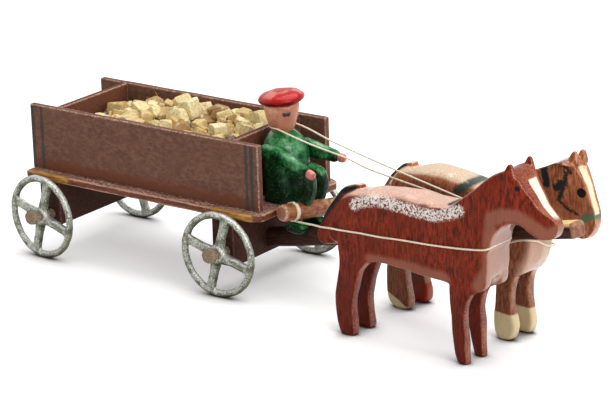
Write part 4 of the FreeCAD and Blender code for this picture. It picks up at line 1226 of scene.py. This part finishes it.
# ---------------------------------------------------------------- floor, light and camera
def addStage():
    size = 3.0
    mesh = bpy.data.meshes.new("studioFloor")
    mesh.from_pydata([(-size, -size, 0), (size, -size, 0), (size, size, 0), (-size, size, 0)], [], [(0, 1, 2, 3)])
    ground = bpy.data.objects.new("studioFloor", mesh)
    bpy.context.scene.collection.objects.link(ground)
    finish = Finish("studioFloor")
    seen = finish.node("ShaderNodeLightPath", out="Is Camera Ray")
    rays = seen.socket.node.outputs
    lit = seen.most(Wire(finish, rays["Is Glossy Ray"])).most(Wire(finish, rays["Is Transmission Ray"]))
    # painted shadow: ambient occlusion darkens the floor colour and takes away its glow near where things stand
    near = finish.node("ShaderNodeAmbientOcclusion", {"samples": 8}, {"Distance": 9 * mm}, out="AO")
    glow = finish.blend(lit * near.rise(0.35, 0.95), (0, 0, 0, 1), (0.42, 0.42, 0.42, 1))
    pale = finish.blend(near.rise(0.35, 0.95), shade(96, 86, 80), shade(226, 226, 226))
    finish.surface(Base_Color=pale, Roughness=0.9, Specular_IOR_Level=0.1, Emission_Color=glow,
                   Emission_Strength=1.0)
    mesh.materials.append(finish.material)
    world = bpy.data.worlds.new("studio")
    bpy.context.scene.world = world
    world.use_nodes = True
    world.node_tree.nodes["Background"].inputs[0].default_value = (1, 1, 1, 1)
    world.node_tree.nodes["Background"].inputs[1].default_value = 0.6


def addLamp(name, place, target, size, power):
    lamp = bpy.data.lights.new(name, "AREA")
    lamp.shape = "RECTANGLE"
    lamp.size, lamp.size_y = size
    lamp.energy = power
    made = bpy.data.objects.new(name, lamp)
    made.location = Vector(place)
    made.rotation_euler = (Vector(target) - Vector(place)).to_track_quat("-Z", "Y").to_euler()
    bpy.context.scene.collection.objects.link(made)


camera = {"place": (511.01, -614.56, 274.47), "azimuth": 37.12, "elevation": 18.08, "roll": -1.91, "lens": 176.08}


def addCamera():
    azimuth, elevation, roll = (math.radians(camera[key]) for key in ("azimuth", "elevation", "roll"))
    back = Vector((math.sin(azimuth) * math.cos(elevation), -math.cos(azimuth) * math.cos(elevation), math.sin(elevation)))
    right = Vector((math.cos(azimuth), math.sin(azimuth), 0))
    up = back.cross(right)
    turnedRight = right * math.cos(roll) + up * math.sin(roll)
    turnedUp = up * math.cos(roll) - right * math.sin(roll)
    lens = bpy.data.cameras.new("studioCamera")
    lens.lens = camera["lens"]
    lens.sensor_width = 36.0
    lens.clip_end = 20
    made = bpy.data.objects.new("studioCamera", lens)
    basis = Matrix((turnedRight, turnedUp, back)).transposed().to_4x4()
    made.matrix_world = Matrix.Translation((Vector(camera["place"]) + Vector(middle)) * mm) @ basis
    bpy.context.scene.collection.objects.link(made)
    bpy.context.scene.camera = made


addStage()
centre = Vector(middle) * mm + Vector((0.045, 0, 0.02))
addLamp("softTop", centre + Vector((0.05, 0.25, 0.75)), centre, (0.9, 0.7), 6.0)
addLamp("frontFill", centre + Vector((0.8, -0.25, 0.4)), centre, (0.5, 0.5), 4.0)
addCamera()
bpy.context.scene.view_settings.view_transform = "Standard"
print("stage done")
